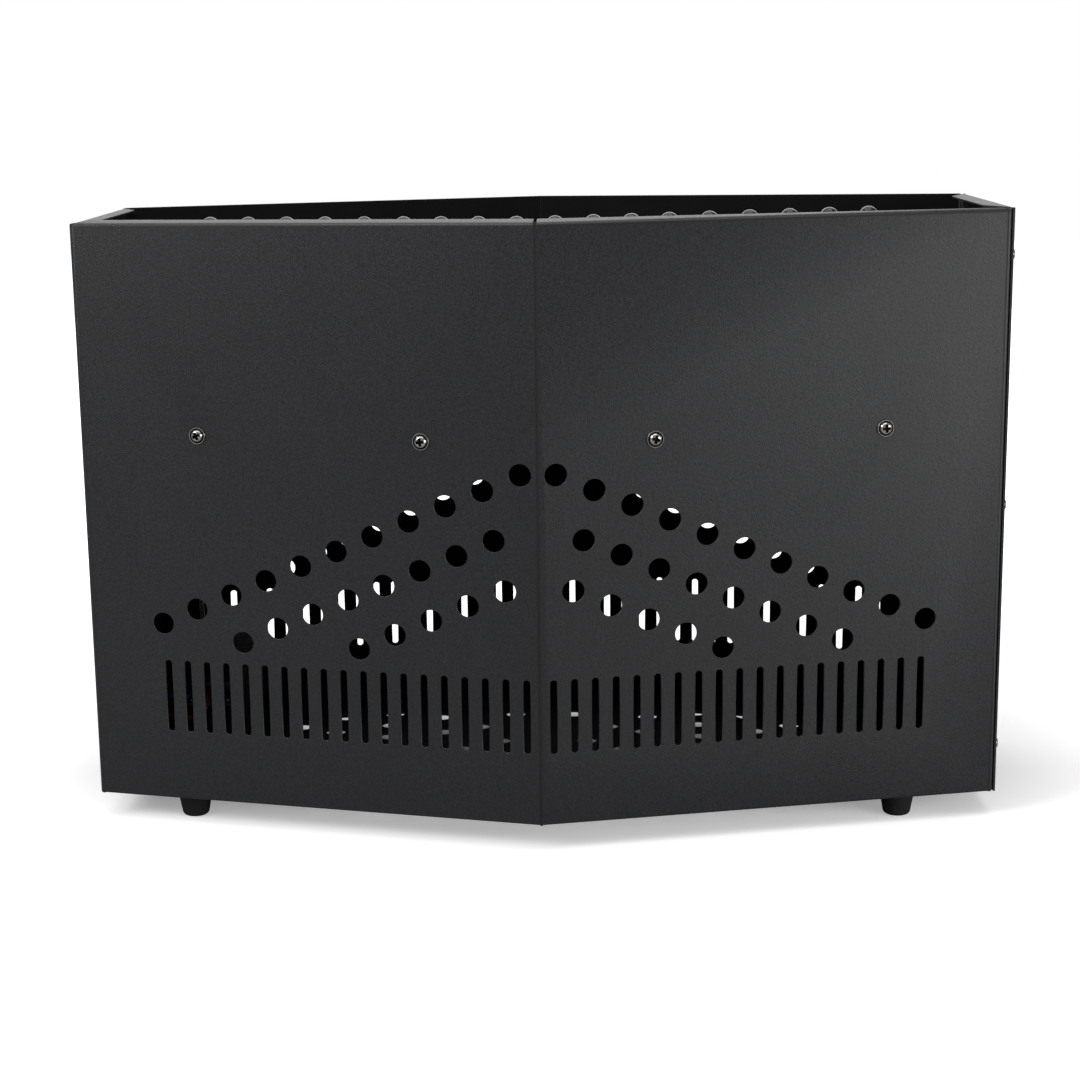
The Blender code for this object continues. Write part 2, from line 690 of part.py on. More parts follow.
def blade_mesh(radius_in, radius_out, count):
    """Flat blades set at a pitch round the hub, as one mesh of separate boxes."""
    bm = bmesh.new()
    length = radius_out - radius_in
    size = Matrix.Diagonal((length, BLADE_CHORD, BLADE_THICKNESS, 1.0))
    for i in range(count):
        spin = Matrix.Rotation(math.tau * i / count, 4, "Z")
        reach = Matrix.Translation((radius_in + length / 2, 0.0, 0.0))
        pitch = Matrix.Rotation(BLADE_PITCH, 4, "X")
        bmesh.ops.create_cube(bm, size=1.0, matrix=spin @ reach @ pitch @ size)
    return mesh_from(bm, "blades")


def blade_reach():
    """The blade's outer end, so that its tip corners clear the bore."""
    half_chord = BLADE_CHORD / 2 * math.cos(BLADE_PITCH)
    return math.sqrt((FAN_BORE_RADIUS - BLADE_CLEARANCE) ** 2 - half_chord**2)


def make_fan(name, x):
    centre = (x, 0.0, FAN_LOW)
    wall_radius = FAN_BORE_RADIUS + FAN_WALL
    ring = [
        (FAN_BORE_RADIUS, FAN_HEIGHT),
        (FAN_OUTER_RADIUS, FAN_HEIGHT),
        (FAN_OUTER_RADIUS, FAN_HEIGHT - FAN_RIM),
        (wall_radius, FAN_HEIGHT - FAN_RIM),
        (wall_radius, FAN_RIM),
        (FAN_OUTER_RADIUS, FAN_RIM),
        (FAN_OUTER_RADIUS, 0.0),
        (FAN_BORE_RADIUS, 0.0),
    ]
    frame = piece(f"fan_frame_{name}", turned_mesh("fan frame", ring, 24, closed=True), BLACK_PLASTIC, centre)
    motor_top = MOTOR_LIFT + MOTOR_PLATE
    struts = boxes(
        "struts",
        [((0.7 * MOTOR_RADIUS, -STRUT_WIDTH / 2, MOTOR_LIFT), (FAN_BORE_RADIUS + FAN_WALL / 2, STRUT_WIDTH / 2, motor_top))],
    )
    for i in range(4):
        turn = Matrix.Rotation(math.tau * (i + 0.5) / 4, 4, "Z")
        join(frame, helper(f"{name} strut {i}", struts, centre, turn))
    motor = rods("motor plate", MOTOR_RADIUS, MOTOR_LIFT, motor_top, 24)
    join(frame, helper(f"{name} motor plate", motor, centre))
    bearing = rods("bearing", SHAFT_RADIUS + SEAM, MOTOR_LIFT - MOTOR_PLATE, motor_top + MOTOR_PLATE, 12)
    cut(frame, helper(f"{name} bearing", bearing, centre))
    make_rotor(name, centre, motor_top + ROTOR_GAP)
    make_guard(name, x)


def make_rotor(name, centre, low):
    """Hub, shaft and blades, with the origin on the joint's axis."""
    high = low + ROTOR_HEIGHT
    profile = [
        (0.0, high),
        (0.88 * MOTOR_RADIUS, high),
        (MOTOR_RADIUS, high - 0.12 * MOTOR_RADIUS),
        (MOTOR_RADIUS, low),
        (SHAFT_RADIUS, low),
        (SHAFT_RADIUS, MOTOR_LIFT),
        (0.0, MOTOR_LIFT),
    ]
    rotor = piece(f"fan_rotor_{name}", turned_mesh("rotor", profile, 18), BLACK_PLASTIC, centre)
    blades = blade_mesh(0.9 * MOTOR_RADIUS, blade_reach(), BLADE_COUNT)
    middle = Vector(centre) + Vector((0, 0, (low + high) / 2))
    join(rotor, helper(f"{name} blades", blades, middle))


def circle(radius, sides, z=0.0):
    return [
        (radius * math.cos(math.tau * i / sides), radius * math.sin(math.tau * i / sides), z) for i in range(sides)
    ]


def make_guard(name, x):
    """A wire finger guard: rings on four spokes that end on the frame's rim."""
    centre = (x, 0.0, GUARD_LOW)
    hub = rods("guard hub", GUARD_HUB_RADIUS, 0.0, 3 * GUARD_WIRE, 12)
    guard = piece(f"fan_guard_{name}", hub, NICKEL, centre)
    reach = (FAN_BORE_RADIUS + FAN_OUTER_RADIUS) / 2 + GUARD_WIRE
    for i in range(4):
        turn = Matrix.Rotation(math.tau * (i + 0.5) / 4, 4, "Z")
        spoke = tube_mesh("spoke", [(0.7 * GUARD_HUB_RADIUS, 0, GUARD_WIRE), (reach, 0, GUARD_WIRE)], GUARD_WIRE)
        join(guard, helper(f"{name} spoke {i}", spoke, centre, turn))
    for i in range(GUARD_RING_COUNT):
        radius = FAN_BORE_RADIUS - GUARD_RING_STEP * i
        ring = tube_mesh("ring", circle(radius, 20, 2.2 * GUARD_WIRE), GUARD_WIRE, cyclic=True)
        join(guard, helper(f"{name} ring {i}", ring, centre))


def lens_places():
    """Distances of the lenses along a half of the front wall."""
    places = [LENS_START]
    for i in range(LENS_COUNT - 1):
        places.append(places[-1] + (LENS_PITCH_INNER if i < LENS_INNER_PITCHES else LENS_PITCH_OUTER))
    return places


def strip_outline(side, near, far, start, end):
    """The plan outline of a strip along the front wall between two setbacks, square to the ridge plane."""
    return [
        on_wall(side, -1, max(start, along_at(BEND_RELIEF, near)), near),
        on_wall(side, -1, end, near),
        on_wall(side, -1, end, far),
        on_wall(side, -1, max(start, along_at(BEND_RELIEF, far)), far),
    ]


def make_lens_row(side, half):
    """The rail, the LED board and the moulded strip of nine clear domes along one half of the front wall."""
    places = lens_places()
    margin = LENS_PITCH_INNER / 2
    start, end = places[0] - margin, places[-1] + margin
    near = LENS_SETBACK - LED_BOARD_WIDTH / 2
    board = plate("board", strip_outline(side, near, near + LED_BOARD_WIDTH, start, end), LED_BOARD_TOP - BOARD, LED_BOARD_TOP)
    piece(f"led_board_{half}", board, WHITE_BOARD)
    near = LENS_SETBACK - LENS_STRIP_WIDTH / 2
    low = LED_BOARD_TOP + SEAM
    outline = strip_outline(side, near, near + LENS_STRIP_WIDTH, start + SEAM, end - SEAM)
    strip = piece(f"lens_strip_{half}", plate("strip", outline, low, low + LENS_STRIP), CLEAR)
    domes = bmesh.new()
    for along in places:
        dome = lens_dome(low + LENS_STRIP / 2)
        dome.transform(Matrix.Translation(on_wall(side, -1, along, LENS_SETBACK)))
        domes.from_mesh(dome)
        bpy.data.meshes.remove(dome)
    join(strip, helper(f"{half} domes", mesh_from(domes, "domes")))
    rail_end = end + margin
    flat = strip_outline(side, WALL_CLEAR, WALL_CLEAR + RAIL_WIDTH, 0.0, rail_end)
    rail = piece(f"led_rail_{half}", plate("rail", flat, RAIL_TOP - RAIL_SHEET, RAIL_TOP), ALUMINIUM)
    skirt_clear = WALL_CLEAR + BEND_INSET
    skirt = strip_outline(side, skirt_clear, skirt_clear + RAIL_SHEET, BEND_RELIEF, rail_end - BEND_RELIEF)
    low = RAIL_TOP - RAIL_DROP
    join(rail, helper(f"{half} rail skirt", plate("rail skirt", skirt, low, RAIL_TOP - RAIL_SHEET / 2)))


def lens_dome(low):
    """A round-topped lens that stands on the given height, as a mesh on its own axis."""
    shoulder = LENS_TOP - LENS_RADIUS
    rings = 2
    profile = [(0.0, LENS_TOP)]
    for i in range(1, rings + 1):
        angle = math.pi / 2 * i / rings
        profile.append((LENS_RADIUS * math.sin(angle), shoulder + LENS_RADIUS * math.cos(angle)))
    profile += [(LENS_RADIUS, low), (0.0, low)]
    return turned_mesh("dome", profile, 8)


def make_silk(name, x):
    """A silk flame at rest: a soft tent over its wire rail, above the fan guard."""
    z = SILK_RAIL_Z
    reach = FAN_OUTER_RADIUS - SILK_RAIL_INSET
    foot = FAN_TOP + SEAM
    bend = 3 * SILK_RAIL_RADIUS
    route = [
        (x - reach, 0.0, foot),
        (x - reach, 0.0, z - bend),
        (x - reach + bend, 0.0, z),
        (x + reach - bend, 0.0, z),
        (x + reach, 0.0, z - bend),
        (x + reach, 0.0, foot),
    ]
    piece(f"silk_rail_{name}", tube(f"silk_rail_{name}", route, SILK_RAIL_RADIUS), NICKEL)
    bm = bmesh.new()
    columns, rows = 6, 8
    crest = z + SILK_RAIL_RADIUS + SEAM
    hem = GUARD_LOW + 4 * GUARD_WIRE + SEAM
    grid = []
    for i in range(columns + 1):
        across = SILK_WIDTH * (i / columns - 0.5)
        line = []
        for j in range(rows + 1):
            t = 2 * j / rows - 1
            swell = 0.003 * math.sin(2.2 * math.pi * i / columns + 2 * t) * t * t
            fall = (crest - hem) * abs(t) ** 1.5
            y = SILK_SPREAD * t + swell
            line.append(bm.verts.new((x + across, y, crest - fall)))
        grid.append(line)
    for a, b in zip(grid, grid[1:]):
        for j in range(rows):
            bm.faces.new((a[j], b[j], b[j + 1], a[j + 1]))
    bmesh.ops.recalc_face_normals(bm, faces=bm.faces)
    if sum(face.normal.z for face in bm.faces) > 0:
        bmesh.ops.reverse_faces(bm, faces=bm.faces)
    mesh = bpy.data.meshes.new("silk")
    bm.to_mesh(mesh)
    bm.free()
    thicken(piece(f"silk_flame_{name}", mesh, SILK_WHITE), SILK_THICKNESS)


def on_left(y, z, out):
    """A point of the left side plate: out is the distance from its outer face, away from the light."""
    return Vector((-LEFT_PLATE_X - out, y, z))


def left_box(y, z, width, height, back, front):
    """Corners of a box on the left plate, from its back to its front distance out."""
    low = on_left(y - width / 2, z - height / 2, front)
    high = on_left(y + width / 2, z + height / 2, back)
    return low, high


def left_rods(name, radius, back, front, sides, places):
    """Cylinders along X on the left plate, at (y, z) places."""
    bm = bmesh.new()
    for y, z in places:
        matrix = Matrix.Translation(on_left(y, z, (back + front) / 2)) @ Matrix.Rotation(math.pi / 2, 4, "Y")
        bmesh.ops.create_cone(
            bm, cap_ends=True, segments=sides, radius1=radius, radius2=radius, depth=front - back, matrix=matrix
        )
    return mesh_from(bm, name)


def make_inlet():
    """The mains inlet with its three pins, and the fuse drawer under the socket."""
    face = SEAM + INLET_FLANGE
    flange = left_box(INLET_Y, INLET_Z, INLET_FLANGE_WIDTH, INLET_FLANGE_HEIGHT, SEAM, face)
    body = left_box(INLET_Y, INLET_Z, INLET_BODY_WIDTH, INLET_BODY_HEIGHT, -INLET_BODY_DEPTH, SEAM + INLET_FLANGE / 2)
    inlet = piece("mains_inlet", box("inlet flange", *flange), BLACK_PLASTIC)
    join(inlet, helper("inlet body", box("inlet body", *body)))
    socket_z = INLET_Z + SOCKET_RISE
    well = left_box(INLET_Y, socket_z, SOCKET_WIDTH, SOCKET_HEIGHT, face - SOCKET_DEPTH, face + SHEET)
    cut(inlet, helper("socket well", box("socket well", *well)))
    drawer_z = INLET_Z - DRAWER_DROP
    pocket = left_box(
        INLET_Y,
        drawer_z,
        DRAWER_WIDTH + 2 * RUNNING_GAP,
        DRAWER_HEIGHT + 2 * RUNNING_GAP,
        face - DRAWER_DEPTH - RUNNING_GAP,
        face + SHEET,
    )
    cut(inlet, helper("drawer pocket", box("drawer pocket", *pocket)))
    pin_back, pin_front = face - SOCKET_DEPTH - PIN_HEIGHT / 2, face - PIN_RECESS
    pins = [
        left_box(INLET_Y + offset, socket_z + rise, PIN_WIDTH, PIN_HEIGHT, pin_back, pin_front)
        for offset, rise in ((-PIN_SPACING, -PIN_HEIGHT / 2), (0.0, PIN_HEIGHT / 2), (PIN_SPACING, -PIN_HEIGHT / 2))
    ]
    join(inlet, helper("inlet pins", boxes("inlet pins", pins)))
    tray = left_box(INLET_Y, drawer_z, DRAWER_WIDTH, DRAWER_HEIGHT, face - DRAWER_DEPTH, face + RUNNING_GAP + DRAWER_FACE / 2)
    drawer = piece("fuse_drawer", box("drawer tray", *tray), BLACK_PLASTIC)
    front = left_box(
        INLET_Y, drawer_z, DRAWER_FACE_WIDTH, DRAWER_FACE_HEIGHT, face + RUNNING_GAP, face + RUNNING_GAP + DRAWER_FACE
    )
    join(drawer, helper("drawer face", box("drawer face", *front)))


def make_switch():
    """The power switch: a bezel with a well, and a rocker that tips about a pivot in the well."""
    face = SEAM + SWITCH_FLANGE
    flange = left_box(SWITCH_Y, SWITCH_Z, SWITCH_FLANGE_WIDTH, SWITCH_FLANGE_HEIGHT, SEAM, face)
    body = left_box(
        SWITCH_Y, SWITCH_Z, SWITCH_BODY_WIDTH, SWITCH_BODY_HEIGHT, -SWITCH_BODY_DEPTH, SEAM + SWITCH_FLANGE / 2
    )
    switch = piece("switch_housing", box("switch flange", *flange), BLACK_PLASTIC)
    join(switch, helper("switch body", box("switch body", *body)))
    well_height = 2 * (ROCKER_HALF_HEIGHT + 3 * RUNNING_GAP)
    well = left_box(
        SWITCH_Y, SWITCH_Z, ROCKER_WIDTH + 2 * RUNNING_GAP, well_height, face - ROCKER_WELL_DEPTH, face + SHEET
    )
    cut(switch, helper("rocker well", box("rocker well", *well)))
    h = ROCKER_HALF_HEIGHT
    outline = [(-0.46 * h, -0.55 * h), (0.06 * h, -h), (0.46 * h, -0.97 * h), (0.30 * h, 0.0)]
    outline += [(0.46 * h, 0.97 * h), (0.06 * h, h), (-0.46 * h, 0.55 * h)]
    mesh = plate("rocker", outline, -ROCKER_WIDTH / 2, ROCKER_WIDTH / 2)
    pivot = on_left(SWITCH_Y, SWITCH_Z, face - ROCKER_PIVOT_DEPTH)
    stand = Matrix.Rotation(math.pi / 2, 4, "X") @ Matrix.Rotation(math.pi, 4, "Z")
    piece("switch_rocker", mesh, BLACK_PLASTIC, pivot, Matrix.Rotation(-ROCKER_TILT, 4, "Y") @ stand)


def make_data_sockets():
    """The control line's in and out sockets: the first has pins in a well, the second has pin holes."""
    face = SEAM + DATA_FLANGE
    pins = [
        (DATA_PIN_CIRCLE * math.cos(angle), DATA_PIN_CIRCLE * math.sin(angle))
        for angle in (math.radians(a) for a in (-20, 90, 200))
    ]
    for name, y in (("data_in_socket", -DATA_SOCKET_Y), ("data_out_socket", DATA_SOCKET_Y)):
        flange = left_box(y, DATA_SOCKET_Z, DATA_FLANGE_WIDTH, DATA_FLANGE_HEIGHT, SEAM, face)
        socket = piece(name, box(f"{name} flange", *flange), BLACK_PLASTIC)
        barrel = left_rods("barrel", DATA_BARREL_RADIUS, -DATA_BARREL_DEPTH, face - DATA_FLANGE / 2, 16, [(y, DATA_SOCKET_Z)])
        join(socket, helper(f"{name} barrel", barrel))
        places = [(y + dy, DATA_SOCKET_Z + dz) for dy, dz in pins]
        if name == "data_in_socket":
            well = left_rods("well", DATA_WELL_RADIUS, face - DATA_WELL_DEPTH, face + SHEET, 16, [(y, DATA_SOCKET_Z)])
            cut(socket, helper(f"{name} well", well))
            back, front = face - DATA_WELL_DEPTH - DATA_PIN_RADIUS, face - DATA_PIN_RECESS
            join(socket, helper(f"{name} pins", left_rods("pins", DATA_PIN_RADIUS, back, front, 8, places)))
        else:
            bores = left_rods("bores", DATA_PIN_RADIUS, face - DATA_WELL_DEPTH, face + SHEET, 8, places)
            cut(socket, helper(f"{name} bores", bores))


def button_places():
    z = PANEL_Z - BUTTON_DROP
    return [(BUTTON_SPACING * (i - (BUTTON_COUNT - 1) / 2), z) for i in range(BUTTON_COUNT)]


def make_control_panel():
    """The bezel with its window, the four buttons, and the board behind them on its posts."""
    face = SEAM + BEZEL
    bezel = piece(
        "control_bezel", box("bezel", *left_box(0.0, PANEL_Z, BEZEL_WIDTH, BEZEL_HEIGHT, SEAM, face)), BLACK_PLASTIC
    )
    window_z = PANEL_Z + WINDOW_RISE
    frame = left_box(0.0, window_z, WINDOW_WIDTH + 2 * SEAM, WINDOW_HEIGHT + 2 * SEAM, -SHEET, face + SHEET)
    cut(bezel, helper("window frame", box("window frame", *frame)))
    holes = left_rods("button holes", BUTTON_RADIUS + RUNNING_GAP, -SHEET, face + SHEET, 12, button_places())
    cut(bezel, helper("button holes", holes))
    back = face - WINDOW
    piece("display_window", box("window", *left_box(0.0, window_z, WINDOW_WIDTH, WINDOW_HEIGHT, back, face)), DARK_WINDOW)
    make_board(window_z, back - SEAM)
    make_buttons(face)


def make_board(window_z, display_front):
    board_front = -BOARD_SETBACK
    outline = left_box(0.0, PANEL_Z, BOARD_WIDTH, BOARD_HEIGHT, board_front - BOARD, board_front)
    board = piece("control_board", box("control board", *outline), GREEN_BOARD)
    display = left_box(0.0, window_z, WINDOW_WIDTH - 2 * SHEET, WINDOW_HEIGHT, board_front - BOARD / 2, display_front)
    join(board, helper("display block", box("display block", *display)))
    keys = [
        left_box(y, z, KEY_SIZE, KEY_SIZE, board_front - BOARD / 2, board_front + KEY_HEIGHT)
        for y, z in button_places()
    ]
    join(board, helper("key switches", boxes("key switches", keys)))
    dy, dz = BOARD_WIDTH / 2 - 2 * POST_RADIUS, BOARD_HEIGHT / 2 - 2 * POST_RADIUS
    corners = [(y, PANEL_Z + z) for y in (-dy, dy) for z in (-dz, dz)]
    posts = left_rods("posts", POST_RADIUS, board_front - BOARD / 2, -SHEET - SEAM, 8, corners)
    join(board, helper("board posts", posts))


def make_buttons(face):
    top = face + BUTTON_PROUD
    flange = -SHEET - 2 * SEAM
    profile = [
        (0.0, top),
        (0.8 * BUTTON_RADIUS, top),
        (BUTTON_RADIUS, top - 0.2 * BUTTON_RADIUS),
        (BUTTON_RADIUS, flange),
        (BUTTON_FLANGE_RADIUS, flange),
        (BUTTON_FLANGE_RADIUS, flange - BUTTON_FLANGE),
        (0.6 * BUTTON_RADIUS, flange - BUTTON_FLANGE),
        (0.6 * BUTTON_RADIUS, flange - BUTTON_FLANGE - BUTTON_STEM),
        (0.0, flange - BUTTON_FLANGE - BUTTON_STEM),
    ]
    mesh = turned_mesh("button", profile, 8)
    turn = Matrix.Rotation(-math.pi / 2, 4, "Y")
    for i, (y, z) in enumerate(button_places(), 1):
        piece(f"button_{i}", mesh, GREY_BUTTON, on_left(y, z, 0.0), turn, True)


def cut_left_plate(plate_object):
    """The cut-outs for everything that the left plate carries."""
    holes = [
        left_box(INLET_Y, INLET_Z, INLET_BODY_WIDTH + 2 * SEAM, INLET_BODY_HEIGHT + 2 * SEAM, -2 * SHEET, SHEET),
        left_box(SWITCH_Y, SWITCH_Z, SWITCH_BODY_WIDTH + 2 * SEAM, SWITCH_BODY_HEIGHT + 2 * SEAM, -2 * SHEET, SHEET),
        left_box(0.0, PANEL_Z + WINDOW_RISE, WINDOW_WIDTH, WINDOW_HEIGHT + 2 * SEAM, -2 * SHEET, SHEET),
    ]
    cut(plate_object, helper("square cut-outs", boxes("square cut-outs", holes)))
    sockets = [(-DATA_SOCKET_Y, DATA_SOCKET_Z), (DATA_SOCKET_Y, DATA_SOCKET_Z)]
    bores = left_rods("socket bores", DATA_BARREL_RADIUS + 2 * SEAM, -2 * SHEET, SHEET, 16, sockets)
    cut(plate_object, helper("socket bores", bores))
    caps = left_rods("cap bores", BUTTON_RADIUS + 2 * RUNNING_GAP, -2 * SHEET, SHEET, 12, button_places())
    cut(plate_object, helper("cap bores", caps))


def supply_left():
    return -LEFT_PLATE_X + SUPPLY_SETBACK


def loom_x():
    """The loom rises from the power supply's top, near its left edge."""
    return supply_left() + LOOM_INSET


def make_supply():
    """The power supply, with a lowered terminal end towards the front."""
    low, high = BASE_TOP + SEAM, BASE_TOP + SEAM + SUPPLY_HEIGHT
    half = SUPPLY_LENGTH / 2
    case = box("supply", (supply_left(), -half, low), (supply_left() + SUPPLY_WIDTH, half, high))
    supply = piece("power_supply", case, GALVANISED)
    step = box(
        "terminal step",
        (supply_left() - SHEET, -half - SHEET, high - TERMINAL_DROP),
        (supply_left() + SUPPLY_WIDTH + SHEET, -half + TERMINAL_LENGTH, high + SHEET),
    )
    cut(supply, helper("terminal step", step))


def make_wires():
    """The two mains wires from the inlet to the supply's terminals, and the loom up through the deck."""
    inlet_back = -LEFT_PLATE_X + INLET_BODY_DEPTH + SEAM
    supply_front = -SUPPLY_LENGTH / 2
    ledge = BASE_TOP + SEAM + SUPPLY_HEIGHT - TERMINAL_DROP
    entry = supply_front + TERMINAL_LENGTH - SEAM
    for name, offset, dip, reach, look in (
        ("mains_wire_brown", -PIN_SPACING, -0.007, 0.022, BROWN_WIRE),
        ("mains_wire_blue", PIN_SPACING, 0.006, 0.011, BLUE_WIRE),
    ):
        start = Vector((inlet_back, INLET_Y + offset, INLET_Z))
        end = Vector((supply_left() + reach, entry, ledge + 0.005))
        route = [
            start,
            start + Vector((0.0035, 0.0, 0.0)),
            (supply_left() - 0.0045, INLET_Y + offset - 0.006, INLET_Z + dip / 2),
            (supply_left() - 0.0040, supply_front + 0.004, INLET_Z + dip),
            (supply_left() + 0.002, supply_front - 0.006, INLET_Z + dip),
            (end.x - 0.006, supply_front - 0.009, INLET_Z + dip),
            (end.x, supply_front - 0.004, (INLET_Z + dip + end.z) / 2),
            (end.x, supply_front + 0.005, end.z),
            end - Vector((0.0, 0.004, 0.0)),
            end,
        ]
        piece(name, tube(name, smooth_route(route, 2), WIRE_RADIUS), look)
    low = BASE_TOP + 2 * SEAM + SUPPLY_HEIGHT
    frame_x = -FAN_PITCH / 2 - math.sqrt(FAN_OUTER_RADIUS**2 - LOOM_Y**2)
    bend_x = frame_x - LOOM_RADIUS - 4 * SEAM
    route = [
        (loom_x(), LOOM_Y, low),
        (loom_x(), LOOM_Y, low + 0.01),
        (loom_x() - 0.003, LOOM_Y, (low + DECK_TOP) / 2),
        (loom_x(), LOOM_Y, DECK_TOP - 0.02),
        (loom_x(), LOOM_Y, DECK_TOP + 0.008),
        (bend_x, LOOM_Y, FAN_LOW + FAN_HEIGHT / 2),
    ]
    piece("wire_loom", tube("wire_loom", smooth_route(route, 3), LOOM_RADIUS), RUBBER)


def centre_on_origin():
    """Moves the housing frame so that the origin is at the bottom centre of the whole light."""
    bpy.context.view_layer.update()
    graph = bpy.context.evaluated_depsgraph_get()
    xs = []
    for obj in collection(PARTS).objects:
        if obj.type != "EMPTY":
            solid = obj.evaluated_get(graph)
            xs += [(obj.matrix_world @ vert.co).x for vert in solid.to_mesh().vertices]
            solid.to_mesh_clear()
    housing_frame().location = (-(min(xs) + max(xs)) / 2, 0.0, FOOT_HEIGHT)


def main():
    clear_scene()
    housing_frame()
    bore = FOOT_STEM_RADIUS + SEAM
    foot_bores = helper("foot bores", rods("foot bores", bore, -SHEET, BASE_TOP + SHEET, 12, foot_places()))
    side_bores = side_punches("side bores")
    make_walls(foot_bores, side_bores)
    cut_left_plate(side_plate("left_side_plate", -1, LEFT_PLATE_X, SIDE_DEPTH / 2 - SHEET - SEAM))
    cover = side_plate("right_side_cover", 1, WIDTH / 2, SIDE_DEPTH / 2)
    cover_bores = side_punches("cover bores")
    cut(cover, cover_bores)
    make_base(foot_bores)
    make_feet()
    make_screws()
    make_deck()
    for side, half in ((-1, "left"), (1, "right")):
        make_fan(half, side * FAN_PITCH / 2)
        make_silk(half, side * FAN_PITCH / 2)
        make_lens_row(side, half)
    make_inlet()
    make_switch()
    make_data_sockets()
    make_control_panel()
    make_supply()
    make_wires()
    centre_on_origin()


main()
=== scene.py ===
"""Flame effect light: the finished look of the packed model, laid out as a Blender add-on.

The housing's own frame has X to the right, Y to the rear and Z up from the bottom edge of the sheet steel.
Both long walls are shallow Vs. A place on one of them is given by its side (-1 left, 1 right), its facing
(-1 front, 1 rear), its distance along the wall from the ridge and its distance behind the outer face.
"""

import math

import bmesh
import bpy
from bpy.props import FloatProperty, FloatVectorProperty, IntProperty, PointerProperty
from mathutils import Matrix, Vector


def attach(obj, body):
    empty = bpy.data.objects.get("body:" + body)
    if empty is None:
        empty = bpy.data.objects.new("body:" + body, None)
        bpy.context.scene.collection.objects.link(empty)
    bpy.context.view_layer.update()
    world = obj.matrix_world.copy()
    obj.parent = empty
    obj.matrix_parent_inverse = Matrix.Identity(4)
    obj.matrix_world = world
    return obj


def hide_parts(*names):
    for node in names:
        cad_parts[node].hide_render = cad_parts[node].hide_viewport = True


bl_info = {
    "name": "Flame effect light",
    "version": (1, 0, 0),
    "blender": (4, 5, 0),
    "location": "View3D > Sidebar > Flame Light",
    "description": "Models a flame effect light piece by piece, with its finishes and its stage",
    "category": "Object",
}

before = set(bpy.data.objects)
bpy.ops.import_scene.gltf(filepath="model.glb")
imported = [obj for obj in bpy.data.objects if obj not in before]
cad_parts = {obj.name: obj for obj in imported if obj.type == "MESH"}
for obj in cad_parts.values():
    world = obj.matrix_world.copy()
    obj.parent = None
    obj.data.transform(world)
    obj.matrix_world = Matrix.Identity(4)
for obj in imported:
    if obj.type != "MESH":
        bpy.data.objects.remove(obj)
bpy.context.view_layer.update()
HOUSING_ORIGIN = Vector((0.00025, 0.0, 0.014))
X_TURN = Matrix.Rotation(math.pi / 2, 4, "Y")
LEFT_TURN = Matrix.Rotation(-math.pi / 2, 4, "Y")

HALVES = ((-1, "left"), (1, "right"))
ROWS = ((-1, "front"), (1, "rear"))

# Rows of round holes in a half of a long wall: how many, the first one's distance from the ridge, its height.
HOLE_ROWS = ((11, 0.0096, 0.1902), (8, 0.0241, 0.1549), (5, 0.0184, 0.1280))
# Distances of the two deck screws of a half from the ridge, and the radius of a screw's hole.
DECK_SCREW_ALONG = ((0.0624, "inner"), (0.1875, "outer"))
SCREW_BORE = 0.0023
# Rings of intake holes under each fan: radius and how many.
INTAKE_RINGS = ((0.070, 14), (0.047, 8), (0.024, 4))
# Intake holes behind the ridge: distance from the middle, and to the rear.
REAR_INTAKE = (0.018, 0.069)
# Degrees by which each screw was turned home, in the order of the screws.
SCREW_TURNS = (8, 24, -14, 3, 40, 12, -30, 21, 5, 33, -8, 17, 28, -20)

# The folds stop this far short of the ridge and of the side plates' corners.
RIDGE_RELIEF = 0.0008
CORNER_RELIEF = 0.0022

DECK_ABOVE_SCREWS = 0.007
DECK_DROP = 0.014
DECK_BEND = 0.0016
DECK_EDGE_BREAK = 0.00016
LOOM_HOLE = (-0.2045, 0.020)
LOOM_HOLE_RADIUS = 0.006

# Flanges on the left plate start this far out. The others are places above or below an insert's middle.
FLANGE_GAP = 0.0003
WINDOW_RISE = 0.0075
BUTTON_DROP = 0.0100
FUSE_DROP = 0.0105
INLET_RISE = 0.0110
BUTTON_COUNT = 4
FIGURE_COUNT = 4

# The silk's grid has this many columns and rows. The fall takes this many frames.
SILK_COLUMNS = 60
SILK_ROWS = 44
FALL_FRAMES = 45

LAMP_TARGET = Vector((0.0, 0.0, 0.16))
CAMERA_PLACE = (0.0148, -1.17976, 0.40289)
CAMERA_TURN = (78.1635, 1.1496, 3.0297)
CAMERA_LENS = 69.337
CAMERA_SHIFT = (0.08333, -0.01852)


def length(name, default, description):
    """A size in metres."""
    return FloatProperty(
        name=name, description=description, default=default, min=0.0, precision=5, unit="LENGTH"
    )


def offset(name, default, description):
    """A place in metres, to either side."""
    return FloatProperty(name=name, description=description, default=default, unit="LENGTH")


def strength(name, default, description):
    """The strength of a light."""
    return FloatProperty(name=name, description=description, default=default, min=0.0)


def number(name, default, description):
    """A count of like things."""
    return IntProperty(name=name, description=description, default=default, min=1)


def colour(name, default, description):
    """A linear colour."""
    return FloatVectorProperty(
        name=name, description=description, default=default, size=3, min=0.0, max=1.0, subtype="COLOR"
    )


